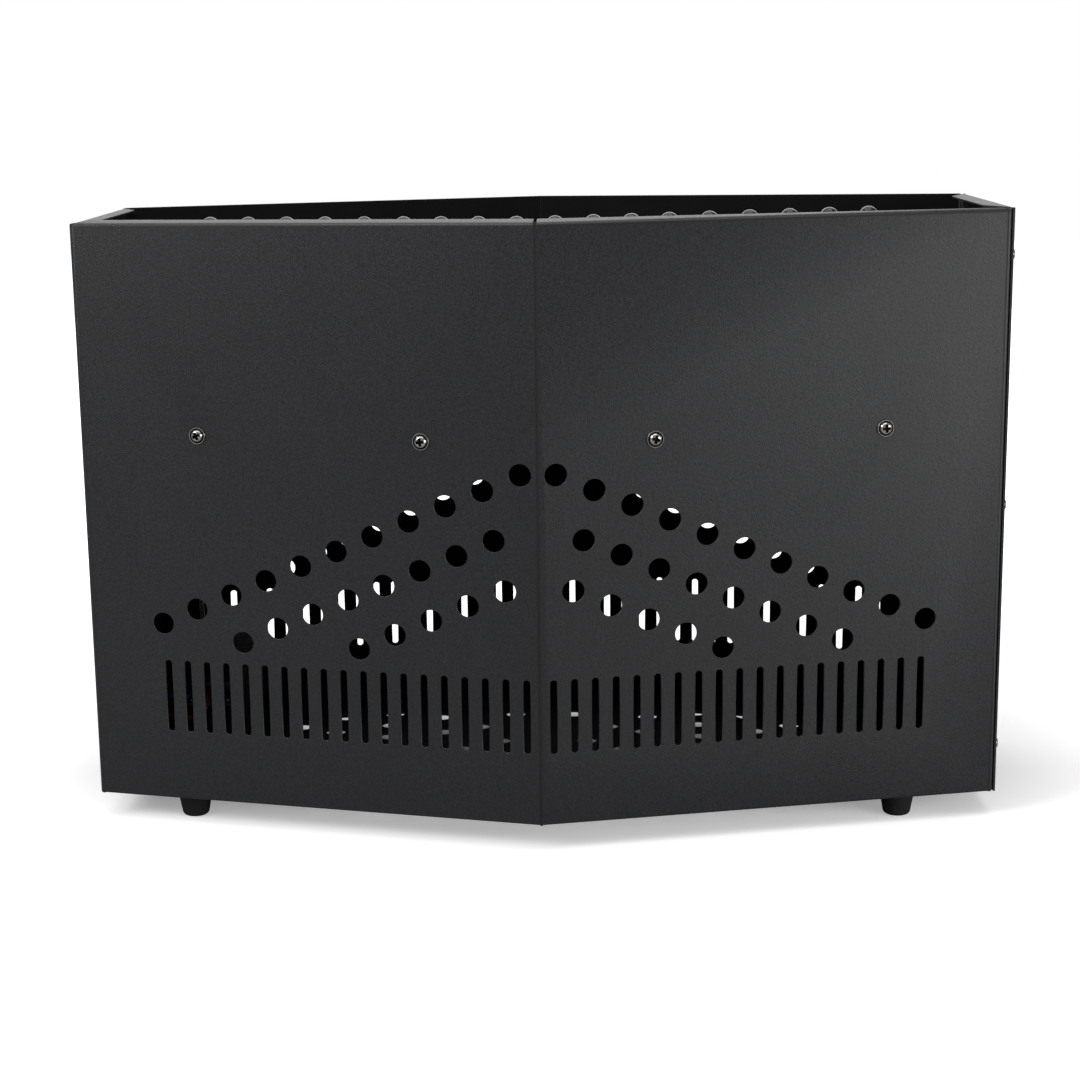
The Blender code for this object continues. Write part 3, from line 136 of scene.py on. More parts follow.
class HousingSizes(bpy.types.PropertyGroup):
    """Sizes of the folded sheet steel housing"""

    width: length("Width", 0.500, "Overall width of the housing")
    side_depth: length("Side depth", 0.140, "Depth of the housing at its two ends")
    ridge_reach: length("Ridge reach", 0.055, "How far each ridge stands out from the corners")
    height: length("Height", 0.320, "Height of the sheet steel without the feet")
    sheet: length("Sheet", 0.0012, "Thickness of the sheet steel")
    seam: length("Seam", 0.0003, "Gap between two pieces that touch")
    lip: length("Lip", 0.027, "Width of the lips of the long walls")
    side_flange: length("Side flange", 0.012, "Width of the flanges of the side plates")
    return_depth: length("Return depth", 0.020, "Width of the returns behind the side plates")
    return_chamfer: length("Return chamfer", 0.015, "Cut at both ends of a return")
    bend_radius: length("Bend radius", 0.0016, "Outer radius of a fold")
    ridge_round: length("Ridge rounding", 0.0006, "Half the width of the rounded ridge")
    lip_droop: length("Lip droop", 0.0016, "How far the top lip's right end leans down behind its fold")
    edge_break: length("Edge break", 0.00016, "Size of the paint's rounding on a cut edge")


class HoleSizes(bpy.types.PropertyGroup):
    """Sizes of the holes and slots in both long walls and the base"""

    hole_radius: length("Hole radius", 0.006, "Radius of the round holes")
    hole_step: length("Hole step", 0.0203, "Distance between two holes of a row, along the wall")
    hole_fall: length("Hole fall", 0.0089, "How much lower each hole of a row is than the one before")
    slot_count: number("Slots", 19, "Slots in each half of a long wall")
    slot_start: length("First slot", 0.0073, "Distance of the first slot from the ridge")
    slot_step: length("Slot step", 0.0113, "Distance between two slots")
    slot_width: length("Slot width", 0.004, "Width of a slot")
    slot_bottom: length("Slot bottom", 0.0395, "Height of a slot's lower end")
    slot_top: length("Slot top", 0.0803, "Height of a slot's upper end")
    intake_radius: length("Intake radius", 0.006, "Radius of the round holes in the base")


class FixingSizes(bpy.types.PropertyGroup):
    """Sizes of the feet and the screws"""

    foot_height: length("Foot height", 0.014, "Height of a rubber foot")
    foot_top: length("Foot top radius", 0.0100, "Radius of a foot under the housing")
    foot_bottom: length("Foot bottom radius", 0.0078, "Radius of a foot on the floor")
    foot_end_inset: length("Foot end inset", 0.053, "Distance of a foot from the housing's end")
    foot_edge_inset: length("Foot edge inset", 0.005, "Distance of a foot from the end's corner line")
    collar_radius: length("Collar radius", 0.0046, "Radius of a screw's collar")
    head_radius: length("Head radius", 0.0039, "Radius of a screw's domed head")
    head_height: length("Head height", 0.0024, "Height of a screw's head above its seat")
    deck_screw_z: length("Deck screw height", 0.2066, "Height of the screws that hold the deck")


class FanSizes(bpy.types.PropertyGroup):
    """Sizes of the two fans and their guards"""

    pitch: length("Fan spacing", 0.188, "Distance between the two fans")
    bore: length("Bore radius", 0.076, "Radius of the air passage")
    outer: length("Rim radius", 0.084, "Radius of the frame's rims")
    wall: length("Frame wall", 0.003, "Thickness of the frame's wall")
    height: length("Frame height", 0.038, "Height of the frame")
    rim: length("Rim thickness", 0.004, "Thickness of the frame's rims")
    motor_radius: length("Hub radius", 0.033, "Radius of the rotor's hub")
    motor_lift: length("Motor lift", 0.006, "Height of the motor plate above the deck")
    motor_plate: length("Motor plate", 0.004, "Thickness of the motor plate")
    rotor_height: length("Rotor height", 0.022, "Height of the rotor's hub")
    blades: number("Blades", 7, "Blades on each rotor")
    guard_wire: length("Guard wire radius", 0.0011, "Radius of the guard's wire")
    guard_step: length("Guard ring step", 0.024, "Distance between two rings of the guard")


class LensSizes(bpy.types.PropertyGroup):
    """Sizes of the lens row behind the front lip"""

    radius: length("Lens radius", 0.005, "Radius of a domed lens")
    height: length("Lens height", 0.011, "Height of a lens above its board")
    proud: length("Lens proud", 0.001, "How far a lens stands above the housing")
    setback: length("Lens setback", 0.034, "Distance of the lens row behind the front wall")
    start: length("First lens", 0.0178, "Distance of the first lens from the ridge")
    pitch_inner: length("Inner pitch", 0.0204, "Lens spacing near the ridge")
    pitch_outer: length("Outer pitch", 0.0219, "Lens spacing further out")
    count: number("Lenses", 9, "Lenses in each half")


class SilkSizes(bpy.types.PropertyGroup):
    """Sizes of the silk flames and their rails"""

    cut_width: length("Cut width", 0.106, "Width of the silk piece as it lies before it is gathered")
    reach: length("Silk reach", 0.049, "Length of the silk from its rail to the tip of a tongue")
    notch: length("Notch depth", 0.010, "How deep the hem is cut between two tongues")
    tongues: number("Tongues", 5, "Tongues along each hem")
    ripple: length("Ripple", 0.0042, "Height of the folds at the hem")
    wire_radius: length("Rail radius", 0.0015, "Radius of the wire rail")
    rail_inset: length("Rail inset", 0.0025, "Distance of the rail's legs inside the fan rim")
    lift: length("Rail lift", 0.010, "Height of the rail above the guard")


class SocketSizes(bpy.types.PropertyGroup):
    """Places and sizes of the sockets, switch and panel on the left plate"""

    inlet_y: offset("Inlet Y", -0.027, "Inlet place along the plate")
    inlet_z: length("Inlet height", 0.048, "Height of the inlet's middle")
    switch_y: offset("Switch Y", 0.020, "Switch place along the plate")
    switch_z: length("Switch height", 0.048, "Height of the switch's middle")
    data_y: length("Data socket offset", 0.021, "Distance of each data socket from the plate's middle")
    data_z: length("Data socket height", 0.112, "Height of the data sockets' middle")
    panel_z: length("Panel height", 0.172, "Height of the control panel's middle")
    button_spacing: length("Button spacing", 0.018, "Distance between two buttons")


class FinishColours(bpy.types.PropertyGroup):
    """Colours of the finishes"""

    paint: colour("Powder coat", (0.0140, 0.0146, 0.0166), "Black powder coat of the housing")
    rubber: colour("Rubber", (0.011, 0.011, 0.012), "Rubber of the feet")
    plastic: colour("Plastic", (0.015, 0.015, 0.017), "Black plastic of fans and sockets")
    nickel: colour("Nickel", (0.62, 0.60, 0.57), "Plating of screws and wires")
    zinc: colour("Zinc", (0.50, 0.52, 0.53), "Galvanised steel of the deck and supply")
    # Painted shade: the supply's case is coloured near black so that the inside seen through the holes stays
    # dark.
    case: colour("Supply case", (0.006, 0.006, 0.0064), "Blackened steel of the power supply")
    silk: colour("Silk", (0.84, 0.82, 0.77), "Silk of the flames")
    board: colour("Circuit board", (0.016, 0.11, 0.045), "Solder mask of the control board")
    brown: colour("Brown wire", (0.11, 0.034, 0.016), "Sleeve of the live wire")
    blue: colour("Blue wire", (0.014, 0.045, 0.17), "Sleeve of the neutral wire")
    button: colour("Buttons", (0.21, 0.22, 0.23), "Rubber of the buttons")


class StageSettings(bpy.types.PropertyGroup):
    """Floor colour and lamp powers"""

    floor: colour("Floor", (0.92, 0.92, 0.92), "Pale floor under the light")
    top_power: strength("Top lamp", 12.0, "Power of the lamp above")
    back_power: strength("Back lamp", 18.0, "Power of the lamp behind")
    left_power: strength("Left lamp", 24.0, "Power of the left lamp")
    right_power: strength("Right lamp", 23.5, "Power of the right lamp")
    sky: strength("Sky", 0.30, "Strength of the soft light all round")


class Value:
    """A socket of a material, so that shader maths reads as plain expressions."""

    def __init__(self, finish, socket):
        self.finish = finish
        self.socket = socket

    def maths(self, operation, first, second):
        return self.finish.add("ShaderNodeMath", {"operation": operation}, {0: first, 1: second})

    def __add__(self, other):
        return self.maths("ADD", self, other)

    __radd__ = __add__

    def __sub__(self, other):
        return self.maths("SUBTRACT", self, other)

    def __rsub__(self, other):
        return self.maths("SUBTRACT", other, self)

    def __mul__(self, other):
        return self.maths("MULTIPLY", self, other)

    __rmul__ = __mul__

    def __pow__(self, other):
        return self.maths("POWER", self, other)

    def largest(self, other):
        return self.maths("MAXIMUM", self, other)

    def smallest(self, other):
        return self.maths("MINIMUM", self, other)

    def sine(self):
        return self.maths("SINE", self, 0.0)

    def size(self):
        return self.maths("ABSOLUTE", self, 0.0)

    def between(self, low, high):
        """0 at low, 1 at high, and straight between them."""
        ends = {"Value": self, "From Min": low, "From Max": high, "To Min": 0.0, "To Max": 1.0}
        return self.finish.add("ShaderNodeMapRange", {"clamp": True}, ends)


class Finish:
    """A material with a Principled shader, and the nodes that feed it."""

    def __init__(self, name, **fixed):
        self.material = bpy.data.materials.new(name)
        self.material.use_nodes = True
        self.tree = self.material.node_tree
        self.shader = self.tree.nodes["Principled BSDF"]
        for socket, value in fixed.items():
            self.shader.inputs[socket.replace("_", " ").title().replace("Ior", "IOR")].default_value = value

    def add(self, kind, settings=None, values=None, output=0):
        """Any node: its settings are set first, then the values or links of its sockets."""
        node = self.tree.nodes.new(kind)
        for key, setting in (settings or {}).items():
            setattr(node, key, setting)
        for key, value in (values or {}).items():
            if isinstance(value, Value):
                self.tree.links.new(value.socket, node.inputs[key])
            else:
                node.inputs[key].default_value = value
        return Value(self, node.outputs[output])

    def place(self):
        """Object coordinates."""
        return self.add("ShaderNodeTexCoord", output="Object")

    def axes(self, vector=None):
        """The three numbers of a place."""
        vector = vector or self.place()
        node = self.add("ShaderNodeSeparateXYZ", values={0: vector}).socket.node
        return [Value(self, output) for output in node.outputs]

    def noise(self, scale, detail=3.0, roughness=0.5, vector=None):
        values = {"Vector": vector or self.place(), "Scale": scale, "Detail": detail, "Roughness": roughness}
        return self.add("ShaderNodeTexNoise", values=values)

    def stretched(self, x, y, z):
        """Object coordinates scaled by a different number along each axis."""
        return self.add("ShaderNodeMapping", values={"Vector": self.place(), "Scale": (x, y, z)})

    def mix(self, factor, first, second):
        """A colour between two."""
        first, second = [c if isinstance(c, Value) else (*c, 1.0) for c in (first, second)]
        values = {0: factor, 6: first, 7: second}
        return self.add("ShaderNodeMix", {"data_type": "RGBA"}, values, output=2)

    def feed(self, socket, value):
        self.tree.links.new(value.socket, self.shader.inputs[socket])

    def bump(self, height, strength, depth):
        values = {"Height": height, "Strength": strength, "Distance": depth}
        self.feed("Normal", self.add("ShaderNodeBump", values=values))


def shaded(rgb, factor):
    """A colour made lighter or darker."""
    return tuple(min(1.0, part * factor) for part in rgb)


def colours():
    """The colours of the finishes."""
    return bpy.context.scene.light_colours


def made_once(material_name, **fixed):
    """Fills a finish at its first use, and hands out the same material afterwards."""

    def wrap(fill):
        def material():
            found = bpy.data.materials.get(material_name)
            if found is None:
                finish = Finish(material_name, **fixed)
                fill(finish)
                found = finish.material
            return found

        return material

    return wrap


@made_once("powder_coat", specular_ior_level=0.50)
def powder_coat(finish):
    """Black powder coat: an orange peel skin, a sparkling grain, and painted shade: darker lines along the
    ridge and just under the top fold.
    """
    paint = colours().paint
    x, y, z = finish.axes()
    grain = finish.noise(1250, 3.0, 0.75)
    peel = finish.noise(620, 2.0, 0.5)
    cloud = finish.noise(9, 3.0, 0.55)
    tone = (grain * 0.80 + peel * 0.20).between(0.36, 0.64)
    coat = finish.mix(tone, shaded(paint, 0.30), shaded(paint, 1.75))
    coat = finish.mix(cloud.between(0.3, 0.7) * 0.25, coat, shaded(paint, 0.8))
    # Painted shade: a dark line along the ridge, and one just under the top fold that grows darker to the
    # right; both are also rougher.
    ridge = 1.0 - x.size().between(0.0003, 0.0014)
    top = bpy.context.scene.light_fixings.foot_height + bpy.context.scene.light_housing.height
    below_fold = (z - (top - 0.0018)).size()
    fold = (1.0 - below_fold.between(0.0003, 0.0007)) * (0.30 + x.between(-0.05, 0.06) * 0.55)
    dark = (ridge * 0.85).largest(fold)
    finish.feed("Base Color", finish.mix(dark, coat, shaded(paint, 0.12)))
    smear = finish.noise(34, 4.0, 0.6, finish.stretched(1.0, 1.0, 0.35)).between(0.48, 0.80)
    finish.feed("Roughness", 0.43 + (grain - 0.5) * 0.30 - smear * 0.04 + dark * 0.25)
    finish.bump(grain * 0.8 + peel * 0.3, 0.55, 0.00030)


@made_once("shaded_inside_coat", specular_ior_level=0.12)
def shaded_inside_coat(finish):
    """The inner faces of the sheet steel: painted shade, coloured far darker than the outer coat, with a
    little dust.
    """
    grain = finish.noise(1250, 3.0, 0.7)
    dust = finish.noise(30, 4.0, 0.6).between(0.45, 0.8)
    # Painted shade: near black, far darker than the powder coat outside.
    inside_shade = finish.mix(grain, (0.0022, 0.0022, 0.0024), (0.0060, 0.0060, 0.0064))
    finish.feed("Base Color", finish.mix(dust * 0.3, inside_shade, (0.011, 0.0105, 0.010)))
    finish.feed("Roughness", 0.72 + grain * 0.2)
    finish.bump(grain, 0.4, 0.0002)


@made_once("foot_rubber", specular_ior_level=0.30)
def rubber(finish):
    """Moulded rubber: matt, with a fine tooth and a little dust."""
    base = colours().rubber
    tooth = finish.noise(1800, 2.0)
    dust = finish.noise(120, 4.0).between(0.50, 0.85)
    finish.feed("Base Color", finish.mix(dust, base, shaded(base, 2.6)))
    finish.feed("Roughness", 0.66 + dust * 0.16)
    finish.bump(tooth, 0.35, 0.00015)


@made_once("spark_plastic", specular_ior_level=0.46)
def plastic(finish):
    """Black plastic from a spark eroded mould."""
    base = colours().plastic
    tooth = finish.noise(2600, 2.0, 0.6)
    cloud = finish.noise(26, 3.0)
    finish.feed("Base Color", finish.mix(cloud.between(0.35, 0.68), shaded(base, 0.75), shaded(base, 1.5)))
    finish.feed("Roughness", 0.36 + tooth * 0.14 + cloud * 0.06)
    finish.bump(tooth, 0.30, 0.00012)


@made_once("nickel_plating", metallic=1.0)
def nickel(finish):
    """Nickel plating with drawing lines and a faint bloom."""
    base = colours().nickel
    lines = finish.noise(900, 3.0, 0.6)
    bloom = finish.noise(160, 3.0).between(0.35, 0.75)
    finish.feed("Base Color", finish.mix(bloom, base, shaded(base, 0.70)))
    finish.feed("Roughness", 0.07 + lines * 0.06 + bloom * 0.06)
    finish.bump(lines, 0.12, 0.00006)


@made_once("painted_recess_shade", metallic=0.5, specular_ior_level=0.2)
def painted_recess_shade(finish):
    """Painted shade in a screw's cross recess and the groove round its head: near black nickel."""
    shade_noise = finish.noise(1400, 3.0)
    finish.feed("Base Color", finish.mix(shade_noise, (0.006, 0.006, 0.006), (0.022, 0.021, 0.019)))
    finish.feed("Roughness", 0.5 + shade_noise * 0.2)


@made_once("zinc_steel", metallic=0.85)
def zinc_steel(finish):
    """Galvanised steel with its spangle."""
    base = colours().zinc
    warp = finish.noise(60, 2.0)
    values = {"Vector": finish.place(), "Scale": 130.0, "Randomness": 1.0}
    cell = finish.add("ShaderNodeTexVoronoi", {"feature": "F1"}, values, output="Color")
    flake = finish.add("ShaderNodeSeparateColor", values={0: cell})
    tone = flake * 0.7 + warp * 0.3
    finish.feed("Base Color", finish.mix(tone, shaded(base, 0.70), shaded(base, 1.14)))
    finish.feed("Roughness", 0.34 + flake * 0.20)
    finish.bump(flake * 0.4 + finish.noise(700, 2.0) * 0.6, 0.10, 0.0001)


@made_once("black_anodised", metallic=0.5)
def black_metal(finish):
    """Black anodised aluminium of the rails behind the lenses."""
    lines = finish.noise(700, 3.0, 0.6, finish.stretched(0.08, 1.0, 1.0))
    finish.feed("Base Color", finish.mix(lines, (0.010, 0.010, 0.011), (0.022, 0.022, 0.024)))
    finish.feed("Roughness", 0.42 + lines * 0.14)
    finish.bump(lines, 0.10, 0.00006)


@made_once("led_board", specular_ior_level=0.5)
def led_board(finish):
    """Black solder mask with faint copper tracks under it."""
    x, y, z = finish.axes()
    track = (x * 1400.0).sine().between(0.55, 0.75)
    cloud = finish.noise(300, 2.0)
    tone = track * 0.5 + cloud * 0.3
    finish.feed("Base Color", finish.mix(tone, (0.010, 0.010, 0.011), (0.030, 0.029, 0.026)))
    finish.feed("Roughness", 0.34 + cloud * 0.12)
    finish.bump(track, 0.15, 0.00006)


@made_once("lens_acrylic", ior=1.45, transmission_weight=1.0)
def shade_tinted_acrylic(finish):
    """Moulded clear acrylic, tinted near black as painted shade so that it looks as dark as the shaded inside
    behind it, with the faintest haze.
    """
    haze = finish.noise(800, 2.0)
    finish.feed("Base Color", finish.mix(haze, (0.060, 0.062, 0.066), (0.100, 0.102, 0.108)))
    finish.feed("Roughness", haze.between(0.4, 0.9) * 0.02)


@made_once("led_chip", specular_ior_level=0.6)
def led_chip(finish):
    """The emitter under a lens: a pale phosphor square, unlit."""
    grain = finish.noise(2500, 2.0)
    finish.feed("Base Color", finish.mix(grain, (0.42, 0.31, 0.06), (0.55, 0.43, 0.12)))
    finish.feed("Roughness", 0.35 + grain * 0.2)
    finish.bump(grain, 0.1, 0.00005)


@made_once("silk_cloth", sheen_weight=0.35, sheen_roughness=0.4, specular_ior_level=0.4)
def silk_cloth(finish):
    """Thin silk: a plain weave on the cloth's own UV, slubs in its tone, and a soft sheen."""
    base = colours().silk
    uv = finish.add("ShaderNodeTexCoord", output="UV")
    u, v = finish.axes(uv)[:2]
    warp = (u * 2600.0).sine()
    weft = (v * 2600.0).sine()
    weave = (warp * weft).between(-1.0, 1.0)
    slub = finish.noise(60, 3.0, 0.6, uv)
    finish.feed("Base Color", finish.mix(slub * 0.7 + weave * 0.3, shaded(base, 0.84), shaded(base, 1.08)))
    finish.feed("Roughness", 0.42 + slub * 0.18)
    finish.bump(weave * 0.6 + slub * 0.8, 0.22, 0.00015)


@made_once("circuit_board", specular_ior_level=0.5)
def circuit_board(finish):
    """Green solder mask with a grid of tracks and tinned pads."""
    base = colours().board
    x, y, z = finish.axes()
    across = (y * 2094.0).sine()
    up = (z * 2094.0).sine()
    track = across.largest(up).between(0.80, 0.95)
    pad = across.smallest(up).between(0.72, 0.80)
    mask = finish.mix(track, base, shaded(base, 1.9))
    finish.feed("Base Color", finish.mix(pad, mask, (0.62, 0.60, 0.52)))
    finish.feed("Roughness", 0.38 - pad * 0.1)
    finish.bump(track + pad, 0.2, 0.0001)


def wire_sleeve(name, base):
    """Smooth PVC sleeve with a slight drawn texture."""
    finish = Finish(name, specular_ior_level=0.5)
    drawn = finish.noise(240, 3.0)
    finish.feed("Base Color", finish.mix(drawn, shaded(base, 0.78), shaded(base, 1.22)))
    finish.feed("Roughness", 0.34 + drawn * 0.16)
    finish.bump(drawn, 0.1, 0.0001)
    return finish.material


@made_once("smoked_window", specular_ior_level=0.6, coat_weight=0.4)
def smoked_window(finish):
    """The dark window of the display."""
    wipe = finish.noise(70, 4.0, 0.6, finish.stretched(1.0, 0.3, 1.0))
    finish.feed("Base Color", finish.mix(wipe, (0.006, 0.005, 0.006), (0.012, 0.009, 0.010)))
    finish.feed("Roughness", 0.05 + wipe.between(0.45, 0.8) * 0.10)


@made_once("segment_grey", specular_ior_level=0.3)
def segment_grey(finish):
    """The unlit bars of the display's figures."""
    grain = finish.noise(900, 2.0)
    finish.feed("Base Color", finish.mix(grain, (0.050, 0.022, 0.022), (0.075, 0.036, 0.034)))
    finish.feed("Roughness", 0.4 + grain * 0.2)


@made_once("button_rubber", specular_ior_level=0.4)
def button_rubber(finish):
    """Grey silicone of the buttons."""
    base = colours().button
    tooth = finish.noise(2400, 2.0)
    worn = finish.noise(220, 3.0)
    finish.feed("Base Color", finish.mix(worn, shaded(base, 0.82), shaded(base, 1.2)))
    finish.feed("Roughness", 0.50 + tooth * 0.14)
    finish.bump(tooth, 0.22, 0.00012)


@made_once("mark_white", specular_ior_level=0.4)
def mark_white(finish):
    """White infill of the switch marks."""
    grain = finish.noise(1600, 2.0)
    finish.feed("Base Color", finish.mix(grain, (0.62, 0.62, 0.60), (0.78, 0.78, 0.76)))
    finish.feed("Roughness", 0.45 + grain * 0.15)


@made_once("case_steel", specular_ior_level=0.08)
def supply_case(finish):
    """The supply's case: coloured near black as painted shade of the dark inside, with a grid of round vents
    painted as darker spots, also painted shade.
    """
    base = colours().case
    x, y, z = finish.axes()
    across = (y * 785.4).sine()
    up = (z * 785.4).sine()
    vent_shade = (across * up).between(0.42, 0.52)
    grain = finish.noise(500, 3.0)
    shell = finish.mix(grain, shaded(base, 0.75), shaded(base, 1.1))
    finish.feed("Base Color", finish.mix(vent_shade, shell, (0.01, 0.01, 0.01)))
    finish.feed("Roughness", 0.66 + grain * 0.1 + vent_shade * 0.1)
    finish.bump(1.0 - vent_shade, 0.5, 0.0004)


def to_object_mode():
    if bpy.context.mode != "OBJECT":
        bpy.ops.object.mode_set(mode="OBJECT")


def deselect():
    """Leaves every object unselected, so that a new piece is shaped alone."""
    to_object_mode()
    bpy.ops.object.select_all(action="DESELECT")


def take(obj):
    """Makes one object the selected and active one."""
    deselect()
    obj.select_set(True)
    bpy.context.view_layer.objects.active = obj
    return obj


def edit(obj):
    """Opens an object for editing with everything selected."""
    take(obj)
    bpy.ops.object.mode_set(mode="EDIT")
    bpy.ops.mesh.select_mode(type="VERT")
    bpy.ops.mesh.select_all(action="SELECT")


def pick(obj, kind, test):
    """In edit mode, selects the points, edges or faces that pass a test."""
    bpy.ops.mesh.select_mode(type=kind)
    bpy.ops.mesh.select_all(action="DESELECT")
    bm = bmesh.from_edit_mesh(obj.data)
    parts = {"VERT": bm.verts, "EDGE": bm.edges, "FACE": bm.faces}[kind]
    chosen = [part for part in parts if test(part)]
    for part in chosen:
        part.select_set(True)
    bm.select_flush_mode()
    bmesh.update_edit_mesh(obj.data)
    if not chosen:
        raise RuntimeError(f"nothing of {obj.name} was picked")


def apply_place(obj):
    """Moves an object's place, turn and scale into its mesh."""
    take(obj)
    bpy.ops.object.transform_apply(location=True, rotation=True, scale=True)
    return obj


def moved(obj, matrix):
    """Places a finished shape by a matrix."""
    obj.matrix_world = matrix @ obj.matrix_world
    return apply_place(obj)


def copy_of(obj, matrix, name="copy"):
    """A copy with its own mesh, placed by a matrix."""
    take(obj)
    bpy.ops.object.duplicate(linked=False)
    made = bpy.context.object
    made.name = name
    return moved(made, matrix)


def joined(objects, name):
    """Several shapes as one object."""
    deselect()
    for obj in objects:
        obj.select_set(True)
    bpy.context.view_layer.objects.active = objects[0]
    if len(objects) > 1:
        bpy.ops.object.join()
    made = bpy.context.object
    made.name = name
    return made


def discard(*objects):
    """Deletes shapes that served as patterns or cutters."""
    for obj in objects:
        bpy.data.objects.remove(obj, do_unlink=True)


def modify(obj, kind, **settings):
    """Adds a modifier with its settings and applies it."""
    take(obj)
    modifier = obj.modifiers.new(kind.lower(), kind)
    for key, value in settings.items():
        setattr(modifier, key, value)
    bpy.ops.object.modifier_apply(modifier=modifier.name)
    return obj


def cut_away(obj, cutters):
    """Cuts one or more shapes out of a piece."""
    cutter = joined(cutters, "cutter")
    modify(obj, "BOOLEAN", operation="DIFFERENCE", solver="EXACT", object=cutter)
    discard(cutter)
    return obj


def melted(objects, name):
    """Solids that overlap, joined to one skin."""
    base, others = objects[0], objects[1:]
    other = joined(others, "addition")
    modify(base, "BOOLEAN", operation="UNION", solver="EXACT", object=other)
    discard(other)
    base.name = name
    return base


def break_edges(obj, width, segments=1, angle=50.0):
    """Rounds every sharp edge by a little, as paint or a mould does."""
    return modify(
        obj,
        "BEVEL",
        width=width,
        segments=segments,
        limit_method="ANGLE",
        angle_limit=math.radians(angle),
        use_clamp_overlap=False,
        miter_outer="MITER_ARC",
    )


def two_finishes(obj, first, second, test):
    """Gives a shape one finish, and a second one on the faces that pass a test."""
    obj.data.materials.append(first)
    obj.data.materials.append(second)
    edit(obj)
    pick(obj, "FACE", test)
    obj.active_material_index = 1
    bpy.ops.object.material_slot_assign()
    to_object_mode()
    return obj


def settle(obj, name, finish, nodes=(), angle=32.0, body="housing"):
    """Finishes a piece: its place in the frame, shading, finish, body and the nodes that it stands for."""
    obj.location = Vector(obj.location) + HOUSING_ORIGIN
    apply_place(obj)
    obj.name = name
    obj.data.name = name
    bpy.ops.object.shade_smooth_by_angle(angle=math.radians(angle))
    if not obj.data.materials:
        obj.data.materials.append(finish)
    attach(obj, body)
    if nodes:
        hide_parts(*nodes)
    return obj


def painted(obj, node, inward, limit):
    """Settles a folded sheet, with the near black finish of painted shade on the faces that look inward."""
    two_finishes(obj, powder_coat(), shaded_inside_coat(), lambda f: f.normal.dot(inward) > limit)
    settle(obj, f"{node}_painted", powder_coat(), [node])


def moulded(obj, node, body="housing"):
    """Settles a plastic piece that stands for one node."""
    settle(obj, f"{node}_moulded", plastic(), [node], body=body)


def nickelled(obj, name, nodes=(), angle=32.0):
    """Settles a nickel plated piece."""
    settle(obj, name, nickel(), nodes, angle)


def block(name, low, high, rounding=0.0, segments=2):
    """A box between two corners, with rounded edges."""
    low, high = Vector(low), Vector(high)
    deselect()
    bpy.ops.mesh.primitive_cube_add(size=1.0, location=(low + high) / 2)
    obj = bpy.context.object
    obj.name = name
    obj.scale = high - low
    apply_place(obj)
    if rounding:
        edit(obj)
        bpy.ops.mesh.bevel(offset=rounding, segments=segments, affect="EDGES")
        to_object_mode()
    return obj


def slab(name, low, high, corner, edge):
    """A plate across X with round corners, and its outer rims broken."""
    obj = block(name, low, high)
    edit(obj)
    pick(obj, "EDGE", lambda e: abs((e.verts[0].co - e.verts[1].co).normalized().x) > 0.99)
    bpy.ops.mesh.bevel(offset=corner, segments=5, affect="EDGES")
    if edge:
        pick(obj, "FACE", lambda f: abs(f.normal.x) > 0.99)
        bpy.ops.mesh.region_to_loop()
        bpy.ops.mesh.bevel(offset=edge, segments=2, affect="EDGES")
    to_object_mode()
    return obj


def drum(name, radius, low, high, sides=32, rounding=0.0):
    """An upright cylinder between two heights, with its rims rounded."""
    deselect()
    bpy.ops.mesh.primitive_cylinder_add(
        vertices=sides, radius=radius, depth=high - low, location=(0, 0, (low + high) / 2)
    )
    obj = bpy.context.object
    obj.name = name
    apply_place(obj)
    if rounding:
        edit(obj)
        pick(obj, "FACE", lambda f: abs(f.normal.z) > 0.99)
        bpy.ops.mesh.region_to_loop()
        bpy.ops.mesh.bevel(offset=rounding, segments=3, affect="EDGES")
        to_object_mode()
    return obj


def wire_ring(radius, wire, segments, place, turn=(0, 0, 0)):
    """A ring of round wire about a place, with its segments around and across. Its place isn't applied."""
    deselect()
    bpy.ops.mesh.primitive_torus_add(
        major_segments=segments[0],
        minor_segments=segments[1],
        major_radius=radius,
        minor_radius=wire,
        location=place,
        rotation=turn,
    )
    return bpy.context.object


def squashed(obj, scale, centre):
    """Scales a shape's mesh about a point."""
    edit(obj)
    bpy.ops.transform.resize(value=scale, center_override=centre)
    to_object_mode()
    return obj


def around(count, start=0.5):
    """Equal turns about Z. The first is this part of a step away from X."""
    return [Matrix.Rotation(math.tau * (i + start) / count, 4, "Z") for i in range(count)]


def point_run(name, points):
    """A run of edges through points, drawn by extruding one point."""
    points = [Vector(point) for point in points]
    deselect()
    bpy.ops.mesh.primitive_plane_add(size=0.01)
    obj = bpy.context.object
    obj.name = name
    edit(obj)
    bpy.ops.mesh.merge(type="CENTER")
    bpy.ops.transform.translate(value=points[0])
    for a, b in zip(points, points[1:]):
        bpy.ops.mesh.extrude_vertices_move(TRANSFORM_OT_translate={"value": b - a})
    return obj


def turned(name, profile, steps=32):
    """A solid turned about Z: a profile of (radius, height) points is spun and closed."""
    obj = point_run(name, [(radius, 0.0, height) for radius, height in profile])
    bpy.ops.mesh.select_all(action="SELECT")
    bpy.ops.mesh.spin(steps=steps, angle=math.tau, center=(0, 0, 0), axis=(0, 0, 1))
    bpy.ops.mesh.select_all(action="SELECT")
    bpy.ops.mesh.remove_doubles(threshold=1e-6)
    bpy.ops.mesh.normals_make_consistent(inside=False)
    to_object_mode()
    return obj


def arc(radius, centre, start, end, steps):
    """Points of an arc in a profile, with angles in degrees."""
    angles = [math.radians(start + (end - start) * i / steps) for i in range(steps + 1)]
    return [(centre[0] + radius * math.cos(a), centre[1] + radius * math.sin(a)) for a in angles]


